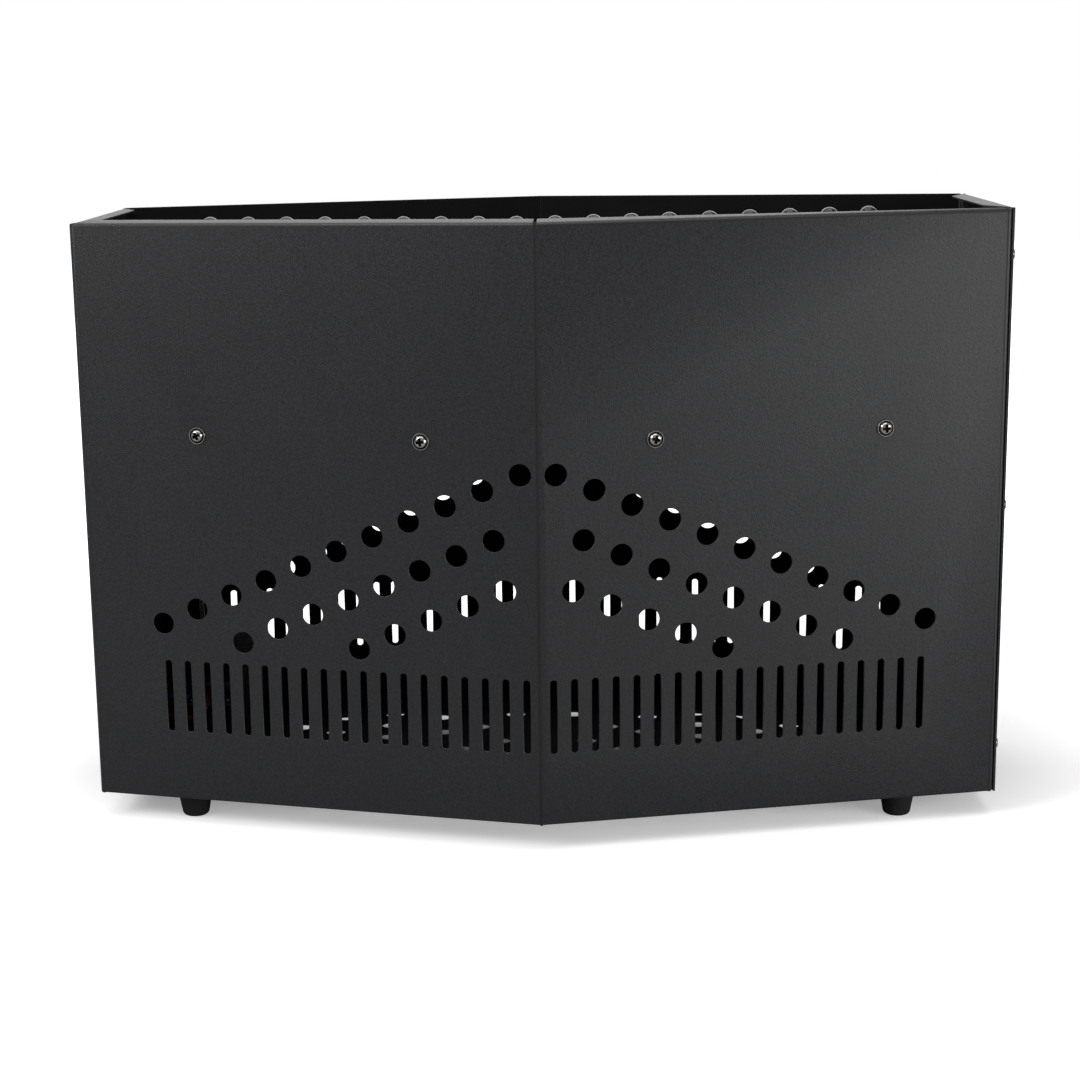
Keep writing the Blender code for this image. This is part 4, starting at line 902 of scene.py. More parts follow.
def prism(name, outline, low, high):
    """A flat plate with this plan outline between two heights."""
    obj = point_run(name, [(x, y, low) for x, y, *rest in outline])
    bpy.ops.mesh.select_all(action="SELECT")
    bpy.ops.mesh.edge_face_add()
    bpy.ops.mesh.extrude_region_move(TRANSFORM_OT_translate={"value": (0, 0, high - low)})
    bpy.ops.mesh.select_all(action="SELECT")
    bpy.ops.mesh.normals_make_consistent(inside=False)
    to_object_mode()
    return obj


def near(point, place):
    """Whether a point lies where a fold begins or ends."""
    return (point - place).length < 1e-5


def fold(obj, ends, corners):
    """Folds a flange out from the edge between two ends, to its two free corners."""
    pick(obj, "EDGE", lambda e: all(any(near(v.co, end) for v in e.verts) for end in ends))
    first = corners[0] - ends[0]
    bpy.ops.mesh.extrude_edges_move(TRANSFORM_OT_translate={"value": first})
    rest = corners[1] - ends[1] - first
    if rest.length > 1e-7:
        pick(obj, "VERT", lambda v: near(v.co, ends[1] + first))
        bpy.ops.transform.translate(value=rest)


def face_outward(obj, outward):
    """Turns the sheet's faces so that the wall's face looks along the given direction."""
    bpy.ops.mesh.select_all(action="SELECT")
    bpy.ops.mesh.normals_make_consistent(inside=False)
    bm = bmesh.from_edit_mesh(obj.data)
    wall = max(bm.faces, key=lambda face: abs(face.normal.dot(outward)) * face.calc_area())
    if wall.normal.dot(outward) < 0:
        bpy.ops.mesh.flip_normals()


def round_bends(obj, radius, ridge=0.0):
    """Rounds the open sheet's folds: first the shallow ridge, then the square folds."""
    def fold_angle(edge):
        return math.degrees(edge.calc_face_angle(0.0)) if len(edge.link_faces) == 2 else 0.0

    if ridge:
        pick(obj, "EDGE", lambda e: 15 < fold_angle(e) < 60)
        bpy.ops.mesh.bevel(offset=ridge, segments=4, affect="EDGES")
    pick(obj, "EDGE", lambda e: fold_angle(e) > 60)
    bpy.ops.mesh.bevel(offset=radius, segments=3, affect="EDGES")


def thicken(obj, thickness):
    """Gives an open sheet its thickness, away from its faces."""
    return modify(
        obj,
        "SOLIDIFY",
        solidify_mode="NON_MANIFOLD",
        nonmanifold_thickness_mode="EVEN",
        nonmanifold_merge_threshold=1e-6,
        thickness=thickness,
        offset=-1.0,
    )


def slope():
    """The angle between a long wall's half and the X axis."""
    housing = bpy.context.scene.light_housing
    return math.atan2(housing.ridge_reach, housing.width / 2)


def on_wall(side, facing, along, behind, z=0.0):
    """A point of a long wall, from its ridge along it and from its outer face inwards."""
    housing = bpy.context.scene.light_housing
    x = along * math.cos(slope()) - behind * math.sin(slope())
    ridge_y = housing.side_depth / 2 + housing.ridge_reach
    y = ridge_y - along * math.sin(slope()) - behind * math.cos(slope())
    return Vector((side * x, facing * y, z))


def along_at(x, behind):
    """How far along a long wall the point with this x lies."""
    return (x + behind * math.sin(slope())) / math.cos(slope())


def wall_turn(side, facing):
    """Turns Z to a long wall's outward normal, with Y up."""
    normal = Vector((side * math.sin(slope()), facing * math.cos(slope()), 0.0))
    return normal.to_track_quat("Z", "Y").to_matrix().to_4x4()


def right_wall_x():
    """The long walls end here on the right, under the side cover."""
    housing = bpy.context.scene.light_housing
    return housing.width / 2 - housing.sheet - housing.seam


def base_end():
    """How far the base and the deck reach towards each side."""
    housing = bpy.context.scene.light_housing
    return housing.width / 2 - 2 * (housing.sheet + housing.seam)


def deck_top():
    return bpy.context.scene.light_fixings.deck_screw_z + DECK_ABOVE_SCREWS


def fan_low():
    return deck_top() + bpy.context.scene.light_housing.seam


def guard_low():
    return fan_low() + bpy.context.scene.light_fans.height + bpy.context.scene.light_housing.seam


def silk_rail_z():
    return guard_low() + 4 * bpy.context.scene.light_fans.guard_wire + bpy.context.scene.light_silk.lift


def left_plate_x():
    return -right_wall_x()


def on_left(y, z, out):
    """A point of the left plate, this far out from its outer face."""
    return Vector((left_plate_x() - out, y, z))


def row_of(obj, count, step):
    """Repeats a shape at equal steps."""
    return modify(
        obj,
        "ARRAY",
        count=count,
        use_relative_offset=False,
        use_constant_offset=True,
        constant_offset_displace=step,
    )


def slot_punch(radius, straight, depth):
    """A punch for an upright slot with round ends, across Y."""
    obj = drum("slot punch", radius, -depth / 2, depth / 2, 16)
    edit(obj)
    pick(obj, "VERT", lambda v: v.co.y > 1e-6)
    bpy.ops.transform.translate(value=(0, straight / 2, 0))
    pick(obj, "VERT", lambda v: v.co.y < -1e-6)
    bpy.ops.transform.translate(value=(0, -straight / 2, 0))
    to_object_mode()
    return obj


def wall_punches(facing):
    """The punches for the round holes, the slots and the deck screws of a long wall."""
    holes = bpy.context.scene.light_holes
    sheet = bpy.context.scene.light_housing.sheet
    screw_z = bpy.context.scene.light_fixings.deck_screw_z
    depth = 5 * sheet
    made = []
    for side in (-1, 1):
        turn = wall_turn(side, facing)
        along_step = on_wall(side, facing, holes.hole_step, 0) - on_wall(side, facing, 0, 0)
        for count, start, top in HOLE_ROWS:
            place = Matrix.Translation(on_wall(side, facing, start, sheet / 2, top)) @ turn
            punch = moved(drum("hole punch", holes.hole_radius, -depth / 2, depth / 2, 28), place)
            made.append(row_of(punch, count, along_step - Vector((0, 0, holes.hole_fall))))
        radius = holes.slot_width / 2
        straight = holes.slot_top - holes.slot_bottom - 2 * radius
        middle = (holes.slot_top + holes.slot_bottom) / 2
        slot_step = on_wall(side, facing, holes.slot_step, 0) - on_wall(side, facing, 0, 0)
        place = Matrix.Translation(on_wall(side, facing, holes.slot_start, sheet / 2, middle)) @ turn
        made.append(row_of(moved(slot_punch(radius, straight, depth), place), holes.slot_count, slot_step))
        for along, edge in DECK_SCREW_ALONG:
            place = Matrix.Translation(on_wall(side, facing, along, sheet / 2, screw_z)) @ turn
            made.append(moved(drum("screw punch", SCREW_BORE, -depth / 2, depth / 2, 16), place))
    return made


def folded_panel(facing, top_lip):
    """A long wall folded from one sheet: the V, the returns at its ends and the lips."""
    housing = bpy.context.scene.light_housing
    stops = {}
    for side in (-1, 1):
        end = housing.width / 2 if side < 0 else right_wall_x()
        places = (RIDGE_RELIEF, along_at(end - 0.003, 0.0), along_at(end, 0.0))
        stops[side] = [on_wall(side, facing, along, 0.0) for along in places]
    row = [*reversed(stops[-1]), on_wall(1, facing, 0.0, 0.0), *stops[1]]
    up = Vector((0, 0, housing.height))
    obj = point_run("panel", row)
    bpy.ops.mesh.select_all(action="SELECT")
    bpy.ops.mesh.extrude_edges_move(TRANSFORM_OT_translate={"value": up})
    for side, (near_end, far_end, corner) in stops.items():
        for z, depth in ((0.0, housing.lip), (housing.height, top_lip)):
            if depth:
                rise = Vector((0, 0, z))
                mitre_x = housing.width / 2 - housing.side_flange - housing.seam
                ridge = on_wall(side, facing, along_at(RIDGE_RELIEF, depth), depth, z)
                droop = housing.lip_droop if side > 0 and z > 0 else 0.0
                mitre = on_wall(side, facing, along_at(mitre_x, depth), depth, z - droop)
                fold(obj, (near_end + rise, far_end + rise), (ridge, mitre))
        inner = Vector((corner.x, facing * (housing.side_depth / 2 - housing.return_depth), 0.0))
        low = inner + Vector((0, 0, housing.return_chamfer))
        high = inner + Vector((0, 0, housing.height - housing.return_chamfer))
        fold(obj, (corner, corner + up), (low, high))
    face_outward(obj, Vector((0, facing, 0)))
    round_bends(obj, housing.bend_radius, housing.ridge_round)
    to_object_mode()
    thicken(obj, housing.sheet)
    cut_away(obj, wall_punches(facing))
    return break_edges(obj, housing.edge_break)


def side_screw_places():
    """(name, y, z) of the screws of the right side cover."""
    housing = bpy.context.scene.light_housing
    inset_y = housing.return_depth / 2
    inset_z = housing.return_chamfer + housing.return_depth / 2
    heights = (("low", inset_z), ("middle", housing.height / 2), ("high", housing.height - inset_z))
    return [
        (f"cover_screw_{edge}_{level}", facing * (housing.side_depth / 2 - inset_y), z)
        for facing, edge in ROWS
        for level, z in heights
    ]


def side_sheet(side, x, half_depth):
    """A side wall with narrow top and bottom flanges, mitred to the lips of the long walls."""
    housing = bpy.context.scene.light_housing
    ends = (-half_depth, CORNER_RELIEF - half_depth, half_depth - CORNER_RELIEF, half_depth)
    up = Vector((0, 0, housing.height))
    obj = point_run("side", [(side * x, y, 0.0) for y in ends])
    bpy.ops.mesh.select_all(action="SELECT")
    bpy.ops.mesh.extrude_edges_move(TRANSFORM_OT_translate={"value": up})
    for z in (0.0, housing.height):
        starts, frees = [], []
        for facing, y in zip((-1, 1), ends[1:3]):
            along = along_at(housing.width / 2 - housing.side_flange, housing.lip)
            starts.append(Vector((side * x, y, z)))
            frees.append(on_wall(side, facing, along, housing.lip, z))
        fold(obj, starts, frees)
    face_outward(obj, Vector((side, 0, 0)))
    round_bends(obj, housing.bend_radius)
    to_object_mode()
    return thicken(obj, housing.sheet)


def across_x(obj, y, z, x=0.0):
    """Lays a shape that was made about Z along X instead."""
    return moved(obj, Matrix.Translation((x, y, z)) @ X_TURN)


def button_ys():
    """Places of the buttons along the left plate."""
    spacing = bpy.context.scene.light_sockets.button_spacing
    return [spacing * (i - (BUTTON_COUNT - 1) / 2) for i in range(BUTTON_COUNT)]


def left_cutters():
    """The cut-outs of the left plate for all that it carries."""
    sockets = bpy.context.scene.light_sockets
    x = left_plate_x()
    deep, out = 0.004, 0.003
    made = []
    for y, z, width, height in (
        (sockets.inlet_y, sockets.inlet_z, 0.0276, 0.0466),
        (sockets.switch_y, sockets.switch_z, 0.0166, 0.0226),
        (0.0, sockets.panel_z + WINDOW_RISE, 0.042, 0.0136),
    ):
        low = (x - out, y - width / 2, z - height / 2)
        made.append(block("cutter", low, (x + deep, y + width / 2, z + height / 2)))
    for y in (-sockets.data_y, sockets.data_y):
        made.append(across_x(drum("cutter", 0.0124, -out, deep, 32), y, sockets.data_z, x))
    for y in button_ys():
        made.append(across_x(drum("cutter", 0.0036, -out, deep, 20), y, sockets.panel_z - BUTTON_DROP, x))
    return made


def wall_outline(behind, end):
    """The plan outline of a sheet that fills the housing, this far behind the long walls."""
    tip = on_wall(1, 1, 0.0, 0.0).y - behind / math.cos(slope())
    rows = []
    for facing in (-1, 1):
        left, right = (on_wall(side, facing, along_at(end, behind), behind) for side in (-1, 1))
        rows.append([left, Vector((0.0, facing * tip, 0.0)), right])
    return [*rows[0], *reversed(rows[1])]


def foot_places():
    housing = bpy.context.scene.light_housing
    fixings = bpy.context.scene.light_fixings
    x = housing.width / 2 - fixings.foot_end_inset
    y = housing.side_depth / 2 - fixings.foot_edge_inset
    return {
        "foot_front_left": (-x, -y),
        "foot_front_right": (x, -y),
        "foot_rear_left": (-x, y),
        "foot_rear_right": (x, y),
    }


def lens_places():
    """Distances of the lenses along a half of the front wall."""
    lenses = bpy.context.scene.light_lenses
    places = [lenses.start]
    for i in range(lenses.count - 1):
        places.append(places[-1] + (lenses.pitch_inner if i < 3 else lenses.pitch_outer))
    return places


def tube(name, points, radius, resolution=3):
    """A round wire along points, drawn as a curve and turned to a mesh."""
    deselect()
    bpy.ops.curve.primitive_nurbs_path_add()
    obj = bpy.context.object
    obj.name = name
    curve = obj.data
    curve.splines.clear()
    spline = curve.splines.new("POLY")
    spline.points.add(len(points) - 1)
    for point, place in zip(spline.points, points):
        point.co = (*place, 1.0)
    spline.use_smooth = True
    curve.dimensions = "3D"
    curve.bevel_depth = radius
    curve.bevel_resolution = resolution
    curve.use_fill_caps = True
    take(obj)
    bpy.ops.object.convert(target="MESH")
    obj = bpy.context.object
    edit(obj)
    bpy.ops.mesh.remove_doubles(threshold=1e-6)
    bpy.ops.mesh.normals_make_consistent(inside=False)
    to_object_mode()
    return obj


class MakeLongPanels(bpy.types.Operator):
    """Folds the front and rear panels and punches their holes and slots"""

    bl_idname = "flame_light.long_panels"
    bl_label = "Front and Rear Panels"

    def execute(self, context):
        lip = context.scene.light_housing.lip
        for name, facing, top_lip in (("front_panel", -1, lip), ("rear_panel", 1, 0.0)):
            painted(folded_panel(facing, top_lip), name, Vector((0, -facing, 0)), 0.9)
        return {"FINISHED"}


class MakeSidePlates(bpy.types.Operator):
    """Folds the left side plate and the right side cover"""

    bl_idname = "flame_light.side_plates"
    bl_label = "Side Plates"

    def execute(self, context):
        housing = context.scene.light_housing
        left = side_sheet(-1, right_wall_x(), housing.side_depth / 2 - housing.sheet - housing.seam)
        cut_away(left, left_cutters())
        break_edges(left, housing.edge_break)
        painted(left, "left_side_plate", Vector((1, 0, 0)), 0.95)
        right = side_sheet(1, housing.width / 2, housing.side_depth / 2)
        bores = [
            across_x(drum("bore", SCREW_BORE, -0.003, 0.003, 16), y, z, housing.width / 2)
            for name, y, z in side_screw_places()
        ]
        cut_away(right, bores)
        break_edges(right, housing.edge_break)
        painted(right, "right_side_cover", Vector((-1, 0, 0)), 0.95)
        return {"FINISHED"}


class MakeBasePlate(bpy.types.Operator):
    """Cuts the base plate with its rings of intake holes"""

    bl_idname = "flame_light.base_plate"
    bl_label = "Base Plate"

    def execute(self, context):
        housing = context.scene.light_housing
        radius = context.scene.light_holes.intake_radius
        half_pitch = context.scene.light_fans.pitch / 2
        clear = housing.sheet + housing.seam
        base = prism("base", wall_outline(clear, base_end()), clear, clear + housing.sheet)
        centres = [(REAR_INTAKE[0] * side, REAR_INTAKE[1]) for side in (-1, 1)]
        for side in (-1, 1):
            for ring, count in INTAKE_RINGS:
                for i in range(count):
                    angle = math.tau * i / count + math.pi / 2
                    centres.append((side * half_pitch + ring * math.cos(angle), ring * math.sin(angle)))
        punch = drum("intake", radius, -0.002, 0.006, 24)
        punches = [copy_of(punch, Matrix.Translation((x, y, 0.0))) for x, y in centres]
        discard(punch)
        cut_away(base, punches)
        break_edges(base, housing.edge_break)
        painted(base, "base_plate", Vector((0, 0, 1)), 0.9)
        return {"FINISHED"}


class MakeFanDeck(bpy.types.Operator):
    """Folds the deck that carries the fans"""

    bl_idname = "flame_light.fan_deck"
    bl_label = "Fan Deck"

    def execute(self, context):
        housing = context.scene.light_housing
        fans = context.scene.light_fans
        clear = housing.sheet + housing.seam + 0.0001
        outline = wall_outline(clear, base_end())
        obj = point_run("deck", [Vector((x, y, deck_top())) for x, y, z in outline])
        bpy.ops.mesh.select_all(action="SELECT")
        bpy.ops.mesh.edge_face_add()
        drop = Vector((0, 0, -DECK_DROP))
        for a, b in ((0, 1), (1, 2), (3, 4), (4, 5)):
            ends = [Vector((outline[i].x, outline[i].y, deck_top())) for i in (a, b)]
            fold(obj, ends, [end + drop for end in ends])
        bpy.ops.mesh.select_all(action="SELECT")
        bpy.ops.mesh.remove_doubles(threshold=1e-5)
        face_outward(obj, Vector((0, 0, 1)))
        round_bends(obj, DECK_BEND)
        to_object_mode()
        thicken(obj, housing.sheet)
        low, high = deck_top() - 0.005, deck_top() + 0.005
        cutters = []
        for side in (-1, 1):
            opening = drum("fan opening", fans.bore, low, high, 72)
            cutters.append(moved(opening, Matrix.Translation((side * fans.pitch / 2, 0, 0))))
        loom = Matrix.Translation((*LOOM_HOLE, 0))
        cutters.append(moved(drum("loom hole", LOOM_HOLE_RADIUS, low, high, 24), loom))
        cut_away(obj, cutters)
        break_edges(obj, DECK_EDGE_BREAK)
        settle(obj, "fan_deck_folded", zinc_steel(), ["fan_deck"])
        return {"FINISHED"}


class MakeFeet(bpy.types.Operator):
    """Turns the four rubber feet"""

    bl_idname = "flame_light.feet"
    bl_label = "Rubber Feet"

    def execute(self, context):
        fixings = context.scene.light_fixings
        top, bottom, height = fixings.foot_top, fixings.foot_bottom, fixings.foot_height
        barb = 0.0030
        profile = [
            (0.0, 0.0008 - height),
            (bottom - 0.0042, 0.0007 - height),
            (bottom - 0.0034, -height),
            *arc(0.0022, (bottom - 0.0024, 0.0022 - height), -90, -8, 6),
            (top - 0.0006, -0.0020),
            *arc(0.0005, (top - 0.0005, -0.0008), 0, 90, 3),
            (0.0030, -0.0003),
            (0.0030, barb),
            (0.0047, barb),
            (0.0032, barb + 0.0026),
            (0.0, barb + 0.0030),
        ]
        foot = turned("foot", profile, 40)
        for name, (x, y) in foot_places().items():
            made = copy_of(foot, Matrix.Translation((x, y, 0.0)))
            settle(made, f"{name}_rubber", rubber(), [name], 40.0)
        discard(foot)
        return {"FINISHED"}


def screw_shape():
    """A pan head screw with a collar and a cross recess. Its seat is z = 0."""
    fixings = bpy.context.scene.light_fixings
    collar, head, height = fixings.collar_radius, fixings.head_radius, fixings.head_height
    profile = [
        (0.0, -0.008),
        (0.0015, -0.008),
        (0.0019, -0.0074),
        (0.0019, 0.0),
        (collar - 0.0001, 0.0),
        (collar, 0.0003),
        (collar - 0.0002, 0.0007),
        (collar - 0.00045, 0.0007),
        (collar - 0.0006, 0.0003),
        (head - 0.0007, 0.0003),
        (head - 0.0006, 0.0009),
        (0.79 * head, 0.58 * height),
        (0.64 * head, 0.82 * height),
        (0.42 * head, 0.96 * height),
        (0.0, height),
    ]
    screw = turned("screw", profile, 28)
    arms = []
    for turn in (0.0, math.pi / 2):
        arm = block("recess", (-0.0027, -0.00092, 0.0004), (0.0027, 0.00092, 0.0034))
        edit(arm)
        pick(arm, "FACE", lambda f: f.normal.z < -0.9)
        bpy.ops.transform.resize(value=(0.60, 0.75, 1.0))
        to_object_mode()
        arms.append(moved(arm, Matrix.Rotation(turn, 4, "Z")))
    cut_away(screw, [melted(arms, "recess")])

    # The cross recess and the groove round the head take the painted shade.
    def in_painted_shade(face):
        spot = face.calc_center_median()
        reach = math.hypot(spot.x, spot.y)
        in_groove = head - 0.0008 < reach < collar - 0.0004 and 0.0002 < spot.z < 0.00065
        in_recess = 0.0003 < spot.z < 0.78 * height and reach < 0.0024
        return in_recess or in_groove

    return two_finishes(screw, nickel(), painted_recess_shade(), in_painted_shade)


class MakeScrews(bpy.types.Operator):
    """Turns the nickel plated screws and sets them in their holes"""

    bl_idname = "flame_light.screws"
    bl_label = "Screws"

    def execute(self, context):
        screw = screw_shape()
        z = context.scene.light_fixings.deck_screw_z
        places = {}
        for facing, row in ROWS:
            for side, half in HALVES:
                for along, place in DECK_SCREW_ALONG:
                    seat = Matrix.Translation(on_wall(side, facing, along, -0.0003, z))
                    places[f"deck_screw_{row}_{half}_{place}"] = seat @ wall_turn(side, facing)
        for name, y, z in side_screw_places():
            x = context.scene.light_housing.width / 2 + 0.0003
            places[name] = Matrix.Translation((x, y, z)) @ X_TURN
        for (name, place), turn in zip(places.items(), SCREW_TURNS, strict=True):
            made = copy_of(screw, place @ Matrix.Rotation(math.radians(turn), 4, "Z"))
            nickelled(made, f"{name}_plated", [name], 30.0)
        discard(screw)
        return {"FINISHED"}


def dress(names, finish):
    """Gives nodes of the frame that keep their own shape a finish."""
    for name in names:
        for slot in bpy.data.objects[name].material_slots:
            slot.material = finish


def fan_centres(z):
    half_pitch = bpy.context.scene.light_fans.pitch / 2
    return {half: Matrix.Translation((side * half_pitch, 0.0, z)) for side, half in HALVES}


def left_block(y, z, width, height, back, front, rounding=0.0):
    """A box on the left plate, from its back to its front distance out."""
    low = on_left(y - width / 2, z - height / 2, front)
    return block("left block", low, on_left(y + width / 2, z + height / 2, back), rounding)


def left_slab(y, z, width, height, back, front, corner, edge=0.0004):
    """A flange on the left plate with round corners."""
    low = on_left(y - width / 2, z - height / 2, front)
    return slab("left slab", low, on_left(y + width / 2, z + height / 2, back), corner, edge)


def left_drum(y, z, radius, back, front, sides=32, rounding=0.0):
    """A cylinder across the left plate."""
    obj = drum("left drum", radius, back, front, sides, rounding)
    return moved(obj, Matrix.Translation(on_left(y, z, 0.0)) @ LEFT_TURN)


def left_prism(outline, back, front):
    """A plate with an outline of (y, z) points, across the left plate."""
    obj = prism("left prism", [(z, y) for y, z in outline], back, front)
    return moved(obj, Matrix.Translation(on_left(0.0, 0.0, 0.0)) @ LEFT_TURN)


class MakeFanFrames(bpy.types.Operator):
    """Moulds the two fan frames with their struts, motor plates and ribs"""

    bl_idname = "flame_light.fan_frames"
    bl_label = "Fan Frames"

    def execute(self, context):
        fans = context.scene.light_fans
        bore, outer, height, rim = fans.bore, fans.outer, fans.height, fans.rim
        skin, c = bore + fans.wall, 0.0006
        profile = [
            (bore + 0.0014, 0.0),
            (outer - c, 0.0),
            (outer, c),
            (outer, rim - c),
            (outer - c, rim),
            (skin + c, rim),
            (skin, rim + c),
            (skin, height - rim - c),
            (skin + c, height - rim),
            (outer - c, height - rim),
            (outer, height - rim + c),
            (outer, height - c),
            (outer - c, height),
            (bore + 0.0022, height),
            (bore + 0.0007, height - 0.0007),
            (bore, height - 0.0028),
            (bore, 0.0014),
            (bore + 0.0014, 0.0),
        ]
        parts = [turned("fan ring", profile, 96)]
        low, high = fans.motor_lift, fans.motor_lift + fans.motor_plate
        parts.append(drum("motor plate", fans.motor_radius, low, high, 64, 0.0008))
        inner = (0.7 * fans.motor_radius, -0.004, low)
        strut = block("strut", inner, (bore + 0.0015, 0.004, high), 0.0009, 3)
        inner = (skin - 0.0005, -0.0008, rim - 0.0005)
        rib = block("rib", inner, (outer - 0.0006, 0.0008, height - rim + 0.0005))
        parts += [copy_of(strut, turn) for turn in around(4)]
        parts += [copy_of(rib, turn) for turn in around(24)]
        discard(strut, rib)
        mould = joined(parts, "fan frame")
        for half, place in fan_centres(fan_low()).items():
            made = copy_of(mould, place)
            moulded(made, f"fan_frame_{half}")
        discard(mould)
        return {"FINISHED"}


def fan_blade(middle):
    """A cambered blade, twisted from root to tip. It lies along X, at this height."""
    chord, root, tip, steps = 0.034, 0.031, 0.0712, 6
    pitch, twist = math.radians(37), math.radians(1.9)
    points = []
    for i in range(9):
        t = i / 8 - 0.5
        y, z = t * chord, 0.0032 * (1 - 4 * t * t) - 0.0016
        across = y * math.cos(pitch) - z * math.sin(pitch)
        up = middle + y * math.sin(pitch) + z * math.cos(pitch)
        points.append((root, across, up))
    obj = point_run("blade", points)
    bpy.ops.mesh.select_all(action="SELECT")
    step = (tip - root) / steps
    for i in range(steps):
        bpy.ops.mesh.extrude_edges_move(TRANSFORM_OT_translate={"value": (step, 0, 0)})
        centre = (root + step * (i + 1), 0.0, middle)
        bpy.ops.transform.rotate(value=twist, orient_axis="X", center_override=centre)
    to_object_mode()
    modify(obj, "SOLIDIFY", thickness=0.0016, offset=0.0, use_even_offset=True)
    return break_edges(obj, 0.0005, 2, 60.0)


class MakeFanRotors(bpy.types.Operator):
    """Moulds the two rotors: a hub with seven twisted blades"""

    bl_idname = "flame_light.fan_rotors"
    bl_label = "Fan Rotors"

    def execute(self, context):
        fans = context.scene.light_fans
        low = fans.motor_lift + fans.motor_plate + 0.001
        high, r = low + fans.rotor_height, fans.motor_radius
        profile = [
            (0.0, fans.motor_lift),
            (0.003, fans.motor_lift),
            (0.003, low),
            (r - 0.0006, low),
            (r, low + 0.0006),
            *arc(0.004, (r - 0.004, high - 0.004), 0, 90, 6),
            (0.66 * r, high),
            (0.65 * r, high - 0.0006),
            (0.60 * r, high - 0.0006),
            (0.59 * r, high),
            (0.12 * r, high),
            (0.10 * r, high - 0.0012),
            (0.0, high - 0.0014),
        ]
        blade = fan_blade((low + high) / 2)
        parts = [turned("hub", profile, 64)]
        parts += [copy_of(blade, turn) for turn in around(fans.blades, 0.0)]
        discard(blade)
        mould = joined(parts, "rotor")
        for half, place in fan_centres(fan_low()).items():
            made = copy_of(mould, place)
            moulded(made, f"fan_rotor_{half}", f"fan_{half}")
        discard(mould)
        return {"FINISHED"}


class MakeFanGuards(bpy.types.Operator):
    """Welds the two finger guards from wire rings, spokes and eyelets"""

    bl_idname = "flame_light.fan_guards"
    bl_label = "Fan Guards"

    def execute(self, context):
        fans = context.scene.light_fans
        wire = fans.guard_wire
        reach = (fans.bore + fans.outer) / 2
        rim = arc(0.0008, (0.0092, 0.0016), -60, 90, 5)
        parts = [turned("hub disc", [(0.0, 0.0), (0.0092, 0.0), *rim, (0.0, 0.0029)], 40)]
        spoke = tube("spoke", [(0.007, 0, wire), (0.05, 0, wire), (reach - 0.0024, 0, wire)], wire)
        for turn in around(4):
            parts.append(copy_of(spoke, turn))
            eyelet = wire_ring(0.0026, wire, (24, 10), (reach, 0, wire))
            squashed(eyelet, (1.0, 1.0, 0.85), (reach, 0, wire))
            parts.append(moved(apply_place(eyelet), turn))
        discard(spoke)
        for i in range(3):
            radius = fans.bore - fans.guard_step * i
            parts.append(apply_place(wire_ring(radius, wire, (96, 12), (0, 0, 2.2 * wire))))
        guard = joined(parts, "guard")
        screw = screw_shape()
        for half, place in fan_centres(guard_low()).items():
            made = copy_of(guard, place)
            nickelled(made, f"fan_guard_{half}_welded", [f"fan_guard_{half}"], 50.0)
            for i, turn in enumerate(around(4)):
                seat = place @ turn @ Matrix.Translation((reach, 0, 1.6 * wire)) @ Matrix.Scale(0.75, 4)
                fixing = copy_of(screw, seat @ Matrix.Rotation(0.7 * i, 4, "Z"))
                nickelled(fixing, f"guard_screw_{half}_{i + 1}", (), 30.0)
        discard(guard, screw)
        return {"FINISHED"}


def bent_wire_route(corners, radius, steps=6):
    """Points through square corners, each rounded to a radius."""
    route = [Vector(corners[0])]
    for a, b, c in zip(corners, corners[1:], corners[2:]):
        a, b, c = Vector(a), Vector(b), Vector(c)
        start, end = b + (a - b).normalized() * radius, b + (c - b).normalized() * radius
        middle = start + end - b
        for i in range(steps + 1):
            angle = math.pi / 2 * i / steps
            route.append(middle + (start - middle) * math.cos(angle) + (end - middle) * math.sin(angle))
    return [*route, Vector(corners[-1])]


class MakeSilkRails(bpy.types.Operator):
    """Bends the two wire rails that carry the silk"""

    bl_idname = "flame_light.silk_rails"
    bl_label = "Silk Rails"

    def execute(self, context):
        silk = context.scene.light_silk
        reach = context.scene.light_fans.outer - silk.rail_inset
        foot = guard_low() + 0.0001
        for half, place in fan_centres(0.0).items():
            top = silk_rail_z()
            corners = [(-reach, 0, foot), (-reach, 0, top), (reach, 0, top), (reach, 0, foot)]
            wire = tube("rail", bent_wire_route(corners, 0.006), silk.wire_radius, 4)
            pads = []
            for side in (-1, 1):
                pad = drum("pad", 0.0024, 0.0, 0.0008, 24, 0.0002)
                pads.append(moved(pad, Matrix.Translation((side * reach, 0, foot - 0.0001))))
            rail = moved(joined([wire, *pads], "rail"), place)
            nickelled(rail, f"silk_rail_{half}_bent", [f"silk_rail_{half}"], 50.0)
        return {"FINISHED"}


